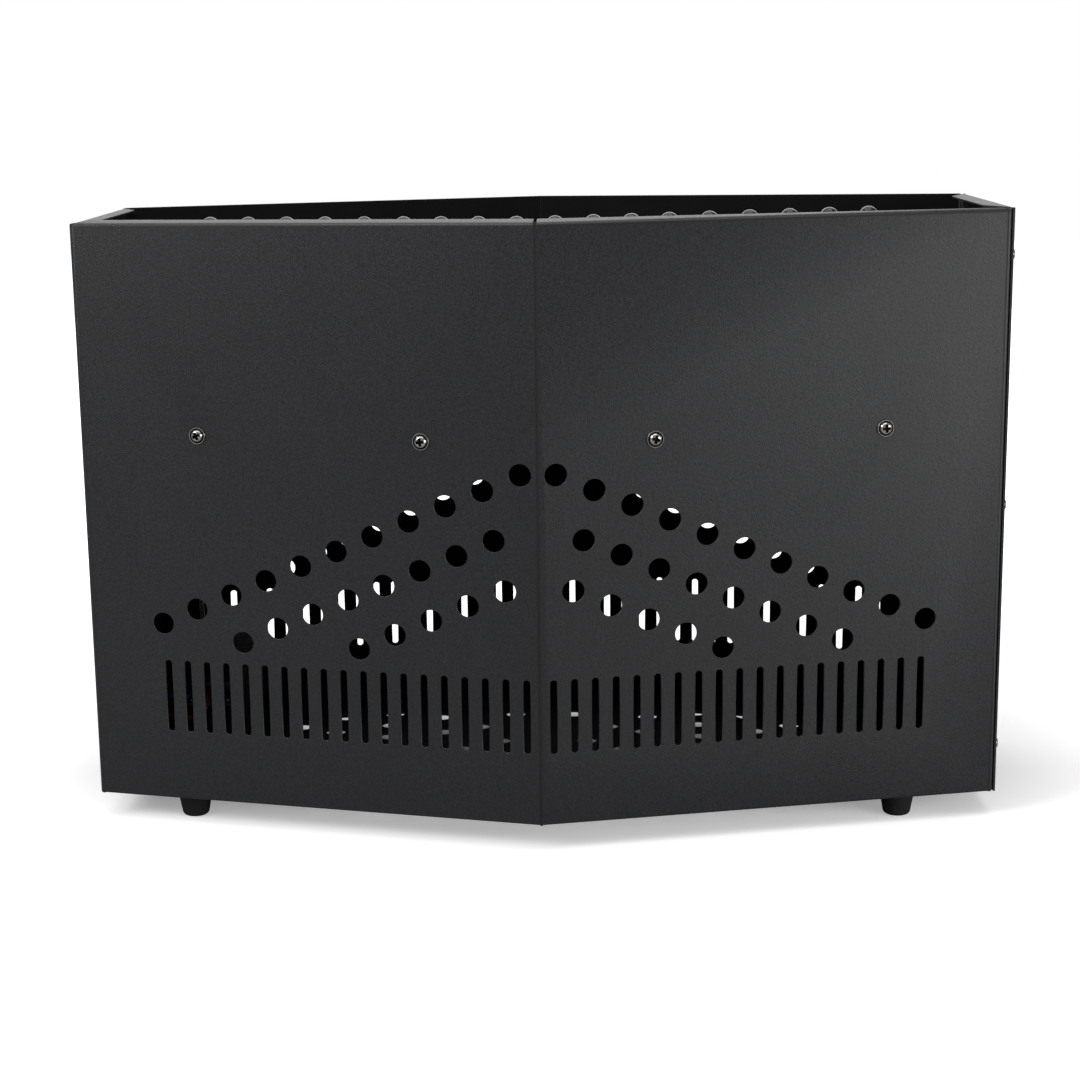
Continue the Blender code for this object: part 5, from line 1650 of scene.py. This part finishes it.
class MakeSilkFlames(bpy.types.Operator):
    """Cuts the two silk flames and lets them down over their rails onto the guards"""

    bl_idname = "flame_light.silk_flames"
    bl_label = "Silk Flames"

    def execute(self, context):
        cloth, flat_area = self.cut(context)
        self.let_down(context, cloth)
        for half, place in fan_centres(0.0).items():
            turn = Matrix.Rotation(math.pi if half == "right" else 0.0, 4, "Z")
            made = copy_of(cloth, place @ turn)
            node = f"silk_flame_{half}"
            settle(made, f"{node}_draped", silk_cloth(), [node], 80.0)
        discard(cloth)
        return {"FINISHED"}

    def cut(self, context):
        """The piece of silk with its pointed hems, held level above its rail, with its folds begun."""
        silk = context.scene.light_silk
        columns = SILK_COLUMNS
        deselect()
        bpy.ops.mesh.primitive_grid_add(x_subdivisions=columns, y_subdivisions=SILK_ROWS, size=2.0)
        cloth = context.object
        edit(cloth)
        for i in range(columns + 1):
            x = 2 * i / columns - 1
            for side in (-1, 1):
                run = silk.tongues * i / columns + 0.25 * side
                point = math.sin(math.pi * (run % 1.0) ** 0.8) ** 0.8
                reach = silk.reach - silk.notch * (1 - point) - 0.0015 * (1 + math.sin(2.4 * run + side))
                lean = silk.ripple / silk.reach * math.sin(2 * math.pi * 3.5 * i / columns + 1.1 * side)
                pick(cloth, "VERT", lambda v: abs(v.co.x - x) < 0.01 and v.co.y * side > 0.01)
                bpy.ops.transform.resize(value=(1.0, reach, 1.0), center_override=(x, 0, 0))
                bpy.ops.transform.rotate(value=lean, orient_axis="X", center_override=(x, 0, 0))
        bpy.ops.mesh.select_all(action="SELECT")
        bpy.ops.transform.resize(value=(silk.cut_width / 2, 1.0, 1.0), center_override=(0, 0, 0))
        bpy.ops.transform.translate(value=(0, 0, silk_rail_z() + silk.wire_radius + 0.0003))
        to_object_mode()
        return cloth, sum(face.area for face in cloth.data.polygons)

    def let_down(self, context, cloth):
        """Lets the cloth fall until it rests, with the wire rail holding its middle."""
        table_top = guard_low() + 3.2 * context.scene.light_fans.guard_wire
        table = drum("table", context.scene.light_fans.outer, table_top - 0.02, table_top - 0.0008, 64)
        table.modifiers.new("rest", "COLLISION")
        table.collision.thickness_outer = 0.001
        table.collision.cloth_friction = 25.0
        held = cloth.vertex_groups.new(name="held")
        held.add([v.index for v in cloth.data.vertices if abs(v.co.y) < 0.003], 1.0, "REPLACE")
        drape = take(cloth).modifiers.new("drape", "CLOTH")
        drape.settings.quality = 10
        drape.settings.mass = 0.02
        drape.settings.tension_stiffness = 12.0
        drape.settings.compression_stiffness = 12.0
        drape.settings.shear_stiffness = 4.0
        drape.settings.bending_stiffness = 0.04
        drape.settings.air_damping = 3.0
        drape.settings.vertex_group_mass = "held"
        drape.settings.effector_weights.gravity = 0.4
        drape.collision_settings.distance_min = 0.001
        drape.point_cache.frame_end = FALL_FRAMES
        for moment in range(1, FALL_FRAMES + 1):
            context.scene.frame_set(moment)
        take(cloth)
        bpy.ops.object.modifier_apply(modifier=drape.name)
        context.scene.frame_set(1)
        discard(table)
        cloth.vertex_groups.clear()
        modify(cloth, "SUBSURF", levels=1, render_levels=1)
        modify(cloth, "SOLIDIFY", thickness=0.00022, offset=0.0)


class MakeLensRow(bpy.types.Operator):
    """Moulds the lens domes, with their holders and emitters, and finishes the rails and boards"""

    bl_idname = "flame_light.lens_row"
    bl_label = "Lens Row"

    def execute(self, context):
        lenses = context.scene.light_lenses
        top = context.scene.light_housing.height + lenses.proud
        low = top - lenses.height
        r = lenses.radius
        shells = []
        for outer in (r, 0.66 * r):
            hollow = 0.89 * outer
            profile = [
                (0.0, top - r + hollow),
                *reversed(arc(hollow, (0.0, top - r), 0, 80, 8)),
                (hollow, low + 0.0001),
                (outer - 0.0001, low + 0.0001),
                (outer, low + 0.0004),
                *arc(outer, (0.0, top - r), 0, 84, 8),
                (0.0, top - r + outer),
            ]
            shells.append(turned("dome", profile, 32))
        dome = joined(shells, "dome")
        profile = [
            (0.0031, low),
            (0.0055, low),
            (0.0055, low + 0.0022),
            (0.0051, low + 0.0026),
            (0.0051, low + 0.0012),
            (0.0031, low + 0.0004),
            (0.0031, low),
        ]
        cup = turned("cup", profile, 28)
        chip = block("chip", (-0.0013, -0.0013, low - 0.0002), (0.0013, 0.0013, low + 0.0008), 0.0002)
        die = drum("die", 0.0009, low + 0.0007, low + 0.0012, 20, 0.0002)
        for side, half in HALVES:
            places = [Matrix.Translation(on_wall(side, -1, along, lenses.setback)) for along in lens_places()]
            for part, name, finish, slot, nodes, angle in (
                (dome, "lens_domes", shade_tinted_acrylic(), "clear_lens", [f"lens_strip_{half}"], 50.0),
                (cup, "lens_cups", plastic(), "black_plastic", (), 32.0),
                (chip, "led_bodies", plastic(), "black_plastic", (), 32.0),
                (die, "led_emitters", led_chip(), "led_board_white", (), 32.0),
            ):
                row = joined([copy_of(part, place) for place in places], name)
                settle(row, f"{name}_{half}", finish, nodes, angle)
        discard(dome, cup, chip, die)
        dress(("led_rail_left", "led_rail_right"), black_metal())
        dress(("led_board_left", "led_board_right"), led_board())
        return {"FINISHED"}


def inlet_outline(y, z, wide, narrow, shoulder, half):
    """A box of (y, z) points with its two upper corners cut off, as the inlet's collar and well have."""
    low, high = [(-wide, -half), (wide, -half)], [(narrow, half), (-narrow, half)]
    return [(y + a, z + b) for a, b in (*low, (wide, shoulder), *high, (-wide, shoulder))]


class MakeMainsInlet(bpy.types.Operator):
    """Moulds the mains inlet with its three pins"""

    bl_idname = "flame_light.mains_inlet"
    bl_label = "Mains Inlet"

    def execute(self, context):
        sockets = context.scene.light_sockets
        y, z, face = sockets.inlet_y, sockets.inlet_z, 0.0028
        flange = left_slab(y, z, 0.031, 0.050, FLANGE_GAP, face, 0.0035, 0.0005)
        body = left_slab(y, z, 0.027, 0.046, -0.024, 0.0012, 0.0012, 0.0)
        inlet = melted([flange, body], "inlet")
        rise = z + INLET_RISE
        collar = inlet_outline(y, rise, 0.0132, 0.0085, 0.0050, 0.0097)
        well = inlet_outline(y, rise, 0.0118, 0.0078, 0.0043, 0.0083)
        rim = left_prism(collar, 0.0012, face + 0.0006)
        inlet = melted([inlet, rim], "inlet")
        cuts = [left_prism(well, face - 0.017, face + 0.002)]
        cuts.append(left_block(y, z - FUSE_DROP, 0.0206, 0.0096, face - 0.0163, face + 0.002))
        cut_away(inlet, cuts)
        break_edges(inlet, 0.0003, 2)
        moulded(inlet, "mains_inlet")
        pins = [
            left_block(y + aside, rise + up, 0.002, 0.004, face - 0.0175, face - 0.006, 0.0005)
            for aside, up in ((-0.007, -0.002), (0.0, 0.002), (0.007, -0.002))
        ]
        nickelled(joined(pins, "pins"), "mains_inlet_pins")
        return {"FINISHED"}


class MakeFuseDrawer(bpy.types.Operator):
    """Moulds the fuse drawer, with a notch for a fingernail"""

    bl_idname = "flame_light.fuse_drawer"
    bl_label = "Fuse Drawer"

    def execute(self, context):
        sockets = context.scene.light_sockets
        y, z, face = sockets.inlet_y, sockets.inlet_z - FUSE_DROP, 0.0028
        front = left_slab(y, z, 0.024, 0.0125, face + 0.0003, face + 0.0019, 0.0014, 0.0004)
        notch = left_drum(y, z + 0.0068, 0.0035, face + 0.0007, face + 0.003, 32)
        groove = left_block(y, z - 0.0030, 0.016, 0.0008, face + 0.0014, face + 0.003)
        cut_away(front, [notch, groove])
        tray = left_block(y, z, 0.020, 0.009, face - 0.016, face + 0.0008, 0.0004)
        moulded(joined([front, tray], "drawer"), "fuse_drawer", "fuse_tray")
        return {"FINISHED"}


class MakeSwitch(bpy.types.Operator):
    """Moulds the rocker switch with its two marks"""

    bl_idname = "flame_light.power_switch"
    bl_label = "Power Switch"

    def execute(self, context):
        sockets = context.scene.light_sockets
        y, z, face, h = sockets.switch_y, sockets.switch_z, 0.0018, 0.0086
        flange = left_slab(y, z, 0.019, 0.025, FLANGE_GAP, face, 0.0016, 0.0004)
        body = left_block(y, z, 0.016, 0.022, -0.016, 0.001, 0.0004)
        housing = melted([flange, body], "switch")
        cut_away(housing, [left_block(y, z, 0.0130, 2 * (h + 0.0009), face - 0.0105, face + 0.002)])
        break_edges(housing, 0.00025, 2)
        moulded(housing, "switch_housing")
        outline = [(-0.46 * h, -0.55 * h), (0.06 * h, -h)]
        outline += [(0.30 * h + 0.16 * h * (i / 6) ** 2, 0.97 * h * i / 6) for i in range(-6, 7)]
        outline += [(0.06 * h, h), (-0.46 * h, 0.55 * h)]
        rocker = prism("rocker", outline, -0.0062, 0.0062)
        break_edges(rocker, 0.00045, 2, 30.0)
        stand = Matrix.Rotation(math.pi / 2, 4, "X") @ Matrix.Rotation(math.pi, 4, "Z")
        pivot = on_left(y, z, face - 0.003)
        place = Matrix.Translation(pivot) @ Matrix.Rotation(-math.radians(8), 4, "Y")
        moulded(moved(rocker, place @ stand), "switch_rocker", "rocker")
        out = 0.352 * h
        bar = block("on mark", (-out - 0.0002, -0.0004, 0.0030), (-out + 0.0004, 0.0004, 0.0064), 0.0001)
        spots = Vector((-out, 0, 0.0047)), Vector((-out, 0, -0.0047))
        ring = apply_place(wire_ring(0.0015, 0.0004, (32, 8), spots[1], (0, math.pi / 2, 0)))
        squashed(ring, (0.55, 1.0, 1.0), spots[1])
        for mark, spot, lean in zip((bar, ring), spots, (-10, 10)):
            turn = Matrix.Rotation(math.radians(lean), 4, "Y")
            moved(mark, Matrix.Translation(spot) @ turn @ Matrix.Translation(-spot))
        marks = moved(joined([bar, ring], "marks"), place)
        settle(marks, "switch_marks", mark_white(), body="rocker")
        return {"FINISHED"}


class MakeDataSockets(bpy.types.Operator):
    """Moulds the data in and data out sockets with their contacts and screws"""

    bl_idname = "flame_light.data_sockets"
    bl_label = "Data Sockets"

    def execute(self, context):
        sockets = context.scene.light_sockets
        z, face = sockets.data_z, 0.0019
        angles = [math.radians(degrees) for degrees in (-20, 90, 200)]
        contacts = [(0.005 * math.cos(angle), 0.005 * math.sin(angle)) for angle in angles]
        for name, y in (("data_in_socket", -sockets.data_y), ("data_out_socket", sockets.data_y)):
            flange = left_slab(y, z, 0.026, 0.031, FLANGE_GAP, face, 0.0030, 0.0004)
            barrel = left_drum(y, z, 0.0118, -0.022, face + 0.0007, 64, 0.0004)
            socket = melted([flange, barrel], name)
            inserts = []
            if name == "data_in_socket":
                cut_away(socket, [left_drum(y, z, 0.0092, face - 0.015, face + 0.002, 64)])
                for dy, dz in contacts:
                    inserts.append(left_drum(y + dy, z + dz, 0.0012, face - 0.0162, face - 0.006, 16, 0.0006))
            else:
                ring = left_drum(y, z, 0.0104, face + 0.0002, face + 0.002, 64)
                core = left_drum(y, z, 0.0094, face - 0.001, face + 0.003, 64)
                cut_away(socket, [cut_away(ring, [core])])
                bores = [
                    left_drum(y + dy, z + dz, 0.0015, face - 0.014, face + 0.002, 24) for dy, dz in contacts
                ]
                bores.append(left_block(y, z - 0.0088, 0.0022, 0.0016, face - 0.004, face + 0.002))
                cut_away(socket, bores)
                for dy, dz in contacts:
                    sleeve = left_drum(y + dy, z + dz, 0.0014, face - 0.0135, face - 0.0004, 24, 0.0001)
                    cut_away(sleeve, [left_drum(y + dy, z + dz, 0.0009, face - 0.012, face + 0.001, 16)])
                    inserts.append(sleeve)
                tab = left_slab(y, z + 0.0128, 0.0070, 0.0032, face - 0.0004, face + 0.0010, 0.0006, 0.0003)
                nickelled(tab, "data_out_latch")
            break_edges(socket, 0.0002, 1)
            moulded(socket, name)
            nickelled(joined(inserts, "contacts"), f"{name}_contacts", (), 50.0)
            screw = screw_shape()
            for i, (dy, dz) in enumerate(((-0.0095, 0.012), (0.0095, -0.012)), 1):
                seat = Matrix.Translation(on_left(y + dy, z + dz, face - 0.0004)) @ LEFT_TURN
                made = copy_of(screw, seat @ Matrix.Scale(0.55, 4) @ Matrix.Rotation(0.4 * i, 4, "Z"))
                nickelled(made, f"{name}_screw_{i}", (), 30.0)
            discard(screw)
        return {"FINISHED"}


class MakeControlPanel(bpy.types.Operator):
    """Moulds the bezel, the display window with its unlit figures and the four buttons"""

    bl_idname = "flame_light.control_panel"
    bl_label = "Control Panel"

    def execute(self, context):
        sockets = context.scene.light_sockets
        z, face = sockets.panel_z, 0.0023
        window_z, button_z = z + WINDOW_RISE, z - BUTTON_DROP
        bezel = left_slab(0.0, z, 0.084, 0.038, FLANGE_GAP, face, 0.0035, 0.0007)
        cuts = [left_slab(0.0, window_z, 0.0426, 0.0136, -0.002, face + 0.002, 0.0008, 0.0)]
        cuts += [left_drum(y, button_z, 0.0033, -0.002, face + 0.002, 32) for y in button_ys()]
        cut_away(bezel, cuts)
        break_edges(bezel, 0.0003, 2)
        moulded(bezel, "control_bezel")
        window = left_slab(0.0, window_z, 0.042, 0.013, face - 0.0016, face - 0.0001, 0.0006, 0.0002)
        settle(window, "display_window_smoked", smoked_window(), ["display_window"])
        self.figures(window_z, face)
        profile = [
            (0.0, -0.0040),
            (0.0018, -0.0040),
            (0.0018, -0.0029),
            (0.0044, -0.0029),
            (0.0044, -0.0018),
            (0.0030, -0.0018),
            *arc(0.0006, (0.0024, face + 0.0008), 0, 90, 4),
            (0.0015, face + 0.0012),
            (0.0, face + 0.0011),
        ]
        button = turned("button", profile, 32)
        for i, y in enumerate(button_ys(), 1):
            made = copy_of(button, Matrix.Translation(on_left(y, button_z, 0.0)) @ LEFT_TURN)
            node = f"button_{i}"
            settle(made, f"{node}_moulded", button_rubber(), [node], body=f"key_{i}")
        discard(button)
        return {"FINISHED"}

    def figures(self, window_z, face):
        """Four figures of seven bars each."""
        bars = []
        width, height, bar, gap, spacing = 0.0046, 0.0086, 0.0007, 0.00035, 0.0096
        back, front = face - 0.0003, face - 0.00005
        for figure in range(FIGURE_COUNT):
            y = spacing * ((FIGURE_COUNT - 1) / 2 - figure)
            for dy, dz, long_y, long_z in (
                (0, height / 2, width, bar),
                (0, 0, width, bar),
                (0, -height / 2, width, bar),
                (-width / 2, height / 4, bar, height / 2),
                (width / 2, height / 4, bar, height / 2),
                (-width / 2, -height / 4, bar, height / 2),
                (width / 2, -height / 4, bar, height / 2),
            ):
                shape = (max(long_y - 2 * gap, bar), max(long_z - 2 * gap, bar))
                bars.append(left_block(y + dy, window_z + dz, *shape, back, front, 0.00005))
            point_y = y - width / 2 - 0.0012
            bars.append(left_drum(point_y, window_z - height / 2, 0.00045, back, front, 12))
        settle(joined(bars, "figures"), "display_figures", segment_grey())


class MakeSupply(bpy.types.Operator):
    """Finishes the power supply and gives it its screw terminals"""

    bl_idname = "flame_light.power_supply"
    bl_label = "Power Supply"

    def execute(self, context):
        dress(["power_supply"], supply_case())
        dress(["control_board"], circuit_board())
        left, ledge, pitch = -0.2125, 0.045, 0.0053
        low = (left + 0.004, -0.0515, ledge)
        base = block("terminals", low, (left + 0.036, -0.0370, ledge + 0.0020), 0.0003)
        walls = []
        for i in range(7):
            low = (left + 0.0036 + pitch * i, -0.0515, ledge)
            walls.append(block("wall", low, (left + 0.0044 + pitch * i, -0.0370, ledge + 0.0085)))
        back = block("back", (left + 0.004, -0.0368, ledge), (left + 0.036, -0.0358, ledge + 0.0100), 0.0002)
        settle(joined([base, *walls, back], "terminals"), "terminal_block", plastic())
        screw = screw_shape()
        heads = []
        for i in range(6):
            place = Matrix.Translation((left + 0.00665 + pitch * i, -0.0465, ledge + 0.0022))
            heads.append(copy_of(screw, place @ Matrix.Scale(0.42, 4) @ Matrix.Rotation(0.5 * i, 4, "Z")))
        discard(screw)
        nickelled(joined(heads, "heads"), "terminal_screws", (), 30.0)
        return {"FINISHED"}


class MakeWires(bpy.types.Operator):
    """Sleeves the mains wires and the loom"""

    bl_idname = "flame_light.wires"
    bl_label = "Wires"

    def execute(self, context):
        sleeves = colours()
        dress(["mains_wire_brown"], wire_sleeve("brown_sleeve", sleeves.brown))
        dress(["mains_wire_blue"], wire_sleeve("blue_sleeve", sleeves.blue))
        dress(["wire_loom"], wire_sleeve("loom_sleeve", sleeves.rubber))
        return {"FINISHED"}


class MakeStage(bpy.types.Operator):
    """Sets the floor, the soft lamps, the white background and the camera"""

    bl_idname = "flame_light.stage"
    bl_label = "Stage"

    def execute(self, context):
        self.floor(context)
        self.lamps(context)
        self.world(context)
        self.camera(context)
        context.scene.view_settings.view_transform = "Standard"
        return {"FINISHED"}

    def floor(self, context):
        deselect()
        bpy.ops.mesh.primitive_grid_add(x_subdivisions=8, y_subdivisions=8, size=8.0, location=(0, 0, 0))
        obj = context.object
        obj.name = "floor"
        apply_place(obj)
        finish = Finish("floor_paper", roughness=0.9, specular_ior_level=0.0, emission_strength=1.0)
        base = context.scene.light_stage.floor
        grain = finish.noise(240, 2.0)
        x, y, z = finish.axes()
        away = (x * x + y * y) ** 0.5
        camera = finish.add("ShaderNodeLightPath", output="Is Camera Ray")
        paper = finish.mix(grain, shaded(base, 0.99), shaded(base, 1.0))
        finish.feed("Base Color", finish.mix(camera, shaded(base, 0.42), paper))
        far = away.between(0.34, 0.90)
        # Painted shadow: the camera's glow is turned down under and just in front of the housing, which
        # darkens the floor there and what shows through the base holes.
        under = y.between(-0.07, 0.01) * (1.0 - away.between(0.20, 0.34))
        finish.feed("Emission Color", camera * (0.38 + far * 0.62 - under * 0.33))
        obj.data.materials.append(finish.material)

    def lamps(self, context):
        stage = context.scene.light_stage
        for name, place, size, power in (
            ("top_lamp", (0.0, 0.0, 1.7), 1.5, stage.top_power),
            ("back_lamp", (0.0, 2.2, 0.9), 2.4, stage.back_power),
            ("left_lamp", (-1.5, -1.0, 1.4), 1.0, stage.left_power),
            ("right_lamp", (1.6, -1.02, 0.24), 1.2, stage.right_power),
        ):
            deselect()
            bpy.ops.object.light_add(type="AREA", location=place)
            lamp = context.object
            lamp.name = name
            lamp.data.energy = power
            lamp.data.size = size
            aim = LAMP_TARGET - Vector(place)
            lamp.rotation_euler = aim.to_track_quat("-Z", "Y").to_euler()

    def world(self, context):
        world = bpy.data.worlds.new("white_room")
        context.scene.world = world
        world.use_nodes = True
        nodes, links = world.node_tree.nodes, world.node_tree.links
        soft = nodes["Background"]
        soft.inputs["Color"].default_value = (1, 1, 1, 1)
        soft.inputs["Strength"].default_value = context.scene.light_stage.sky
        seen = nodes.new("ShaderNodeBackground")
        seen.inputs["Color"].default_value = (1, 1, 1, 1)
        seen.inputs["Strength"].default_value = 1.0
        path = nodes.new("ShaderNodeLightPath")
        mix = nodes.new("ShaderNodeMixShader")
        links.new(path.outputs["Is Camera Ray"], mix.inputs[0])
        links.new(soft.outputs[0], mix.inputs[1])
        links.new(seen.outputs[0], mix.inputs[2])
        links.new(mix.outputs[0], nodes["World Output"].inputs["Surface"])

    def camera(self, context):
        deselect()
        turn = [math.radians(angle) for angle in CAMERA_TURN]
        bpy.ops.object.camera_add(location=CAMERA_PLACE, rotation=turn)
        camera = context.object
        camera.name = "photo_camera"
        camera.data.sensor_width = 36.0
        camera.data.lens = CAMERA_LENS
        camera.data.shift_x, camera.data.shift_y = CAMERA_SHIFT
        camera.data.dof.use_dof = False
        camera.data.clip_end = 50.0
        context.scene.camera = camera


PIECES = (
    MakeLongPanels,
    MakeSidePlates,
    MakeBasePlate,
    MakeFanDeck,
    MakeFeet,
    MakeScrews,
    MakeFanFrames,
    MakeFanRotors,
    MakeFanGuards,
    MakeSilkRails,
    MakeSilkFlames,
    MakeLensRow,
    MakeMainsInlet,
    MakeFuseDrawer,
    MakeSwitch,
    MakeDataSockets,
    MakeControlPanel,
    MakeSupply,
    MakeWires,
    MakeStage,
)

GROUPS = {
    "light_housing": HousingSizes,
    "light_holes": HoleSizes,
    "light_fixings": FixingSizes,
    "light_fans": FanSizes,
    "light_lenses": LensSizes,
    "light_silk": SilkSizes,
    "light_sockets": SocketSizes,
    "light_colours": FinishColours,
    "light_stage": StageSettings,
}


class FlameLightPanel(bpy.types.Panel):
    """Lists the pieces of the flame effect light and their sizes"""

    bl_idname = "VIEW3D_PT_flame_light"
    bl_label = "Flame Effect Light"
    bl_space_type = "VIEW_3D"
    bl_region_type = "UI"
    bl_category = "Flame Light"

    def draw(self, context):
        layout = self.layout
        for name, group in GROUPS.items():
            box = layout.box()
            box.label(text=group.__doc__)
            for key in group.__annotations__:
                box.prop(getattr(context.scene, name), key)
        for maker in PIECES:
            layout.operator(maker.bl_idname)


def register():
    for name, group in GROUPS.items():
        bpy.utils.register_class(group)
        setattr(bpy.types.Scene, name, PointerProperty(type=group))
    for maker in PIECES:
        bpy.utils.register_class(maker)
    bpy.utils.register_class(FlameLightPanel)


def unregister():
    bpy.utils.unregister_class(FlameLightPanel)
    for maker in reversed(PIECES):
        bpy.utils.unregister_class(maker)
    for name, group in reversed(GROUPS.items()):
        delattr(bpy.types.Scene, name)
        bpy.utils.unregister_class(group)


def main():
    register()
    bpy.ops.flame_light.long_panels()
    bpy.ops.flame_light.side_plates()
    bpy.ops.flame_light.base_plate()
    bpy.ops.flame_light.fan_deck()
    bpy.ops.flame_light.feet()
    bpy.ops.flame_light.screws()
    bpy.ops.flame_light.fan_frames()
    bpy.ops.flame_light.fan_rotors()
    bpy.ops.flame_light.fan_guards()
    bpy.ops.flame_light.silk_rails()
    bpy.ops.flame_light.silk_flames()
    bpy.ops.flame_light.lens_row()
    bpy.ops.flame_light.mains_inlet()
    bpy.ops.flame_light.fuse_drawer()
    bpy.ops.flame_light.power_switch()
    bpy.ops.flame_light.data_sockets()
    bpy.ops.flame_light.control_panel()
    bpy.ops.flame_light.power_supply()
    bpy.ops.flame_light.wires()
    bpy.ops.flame_light.stage()


if __name__ == "__main__":
    main()
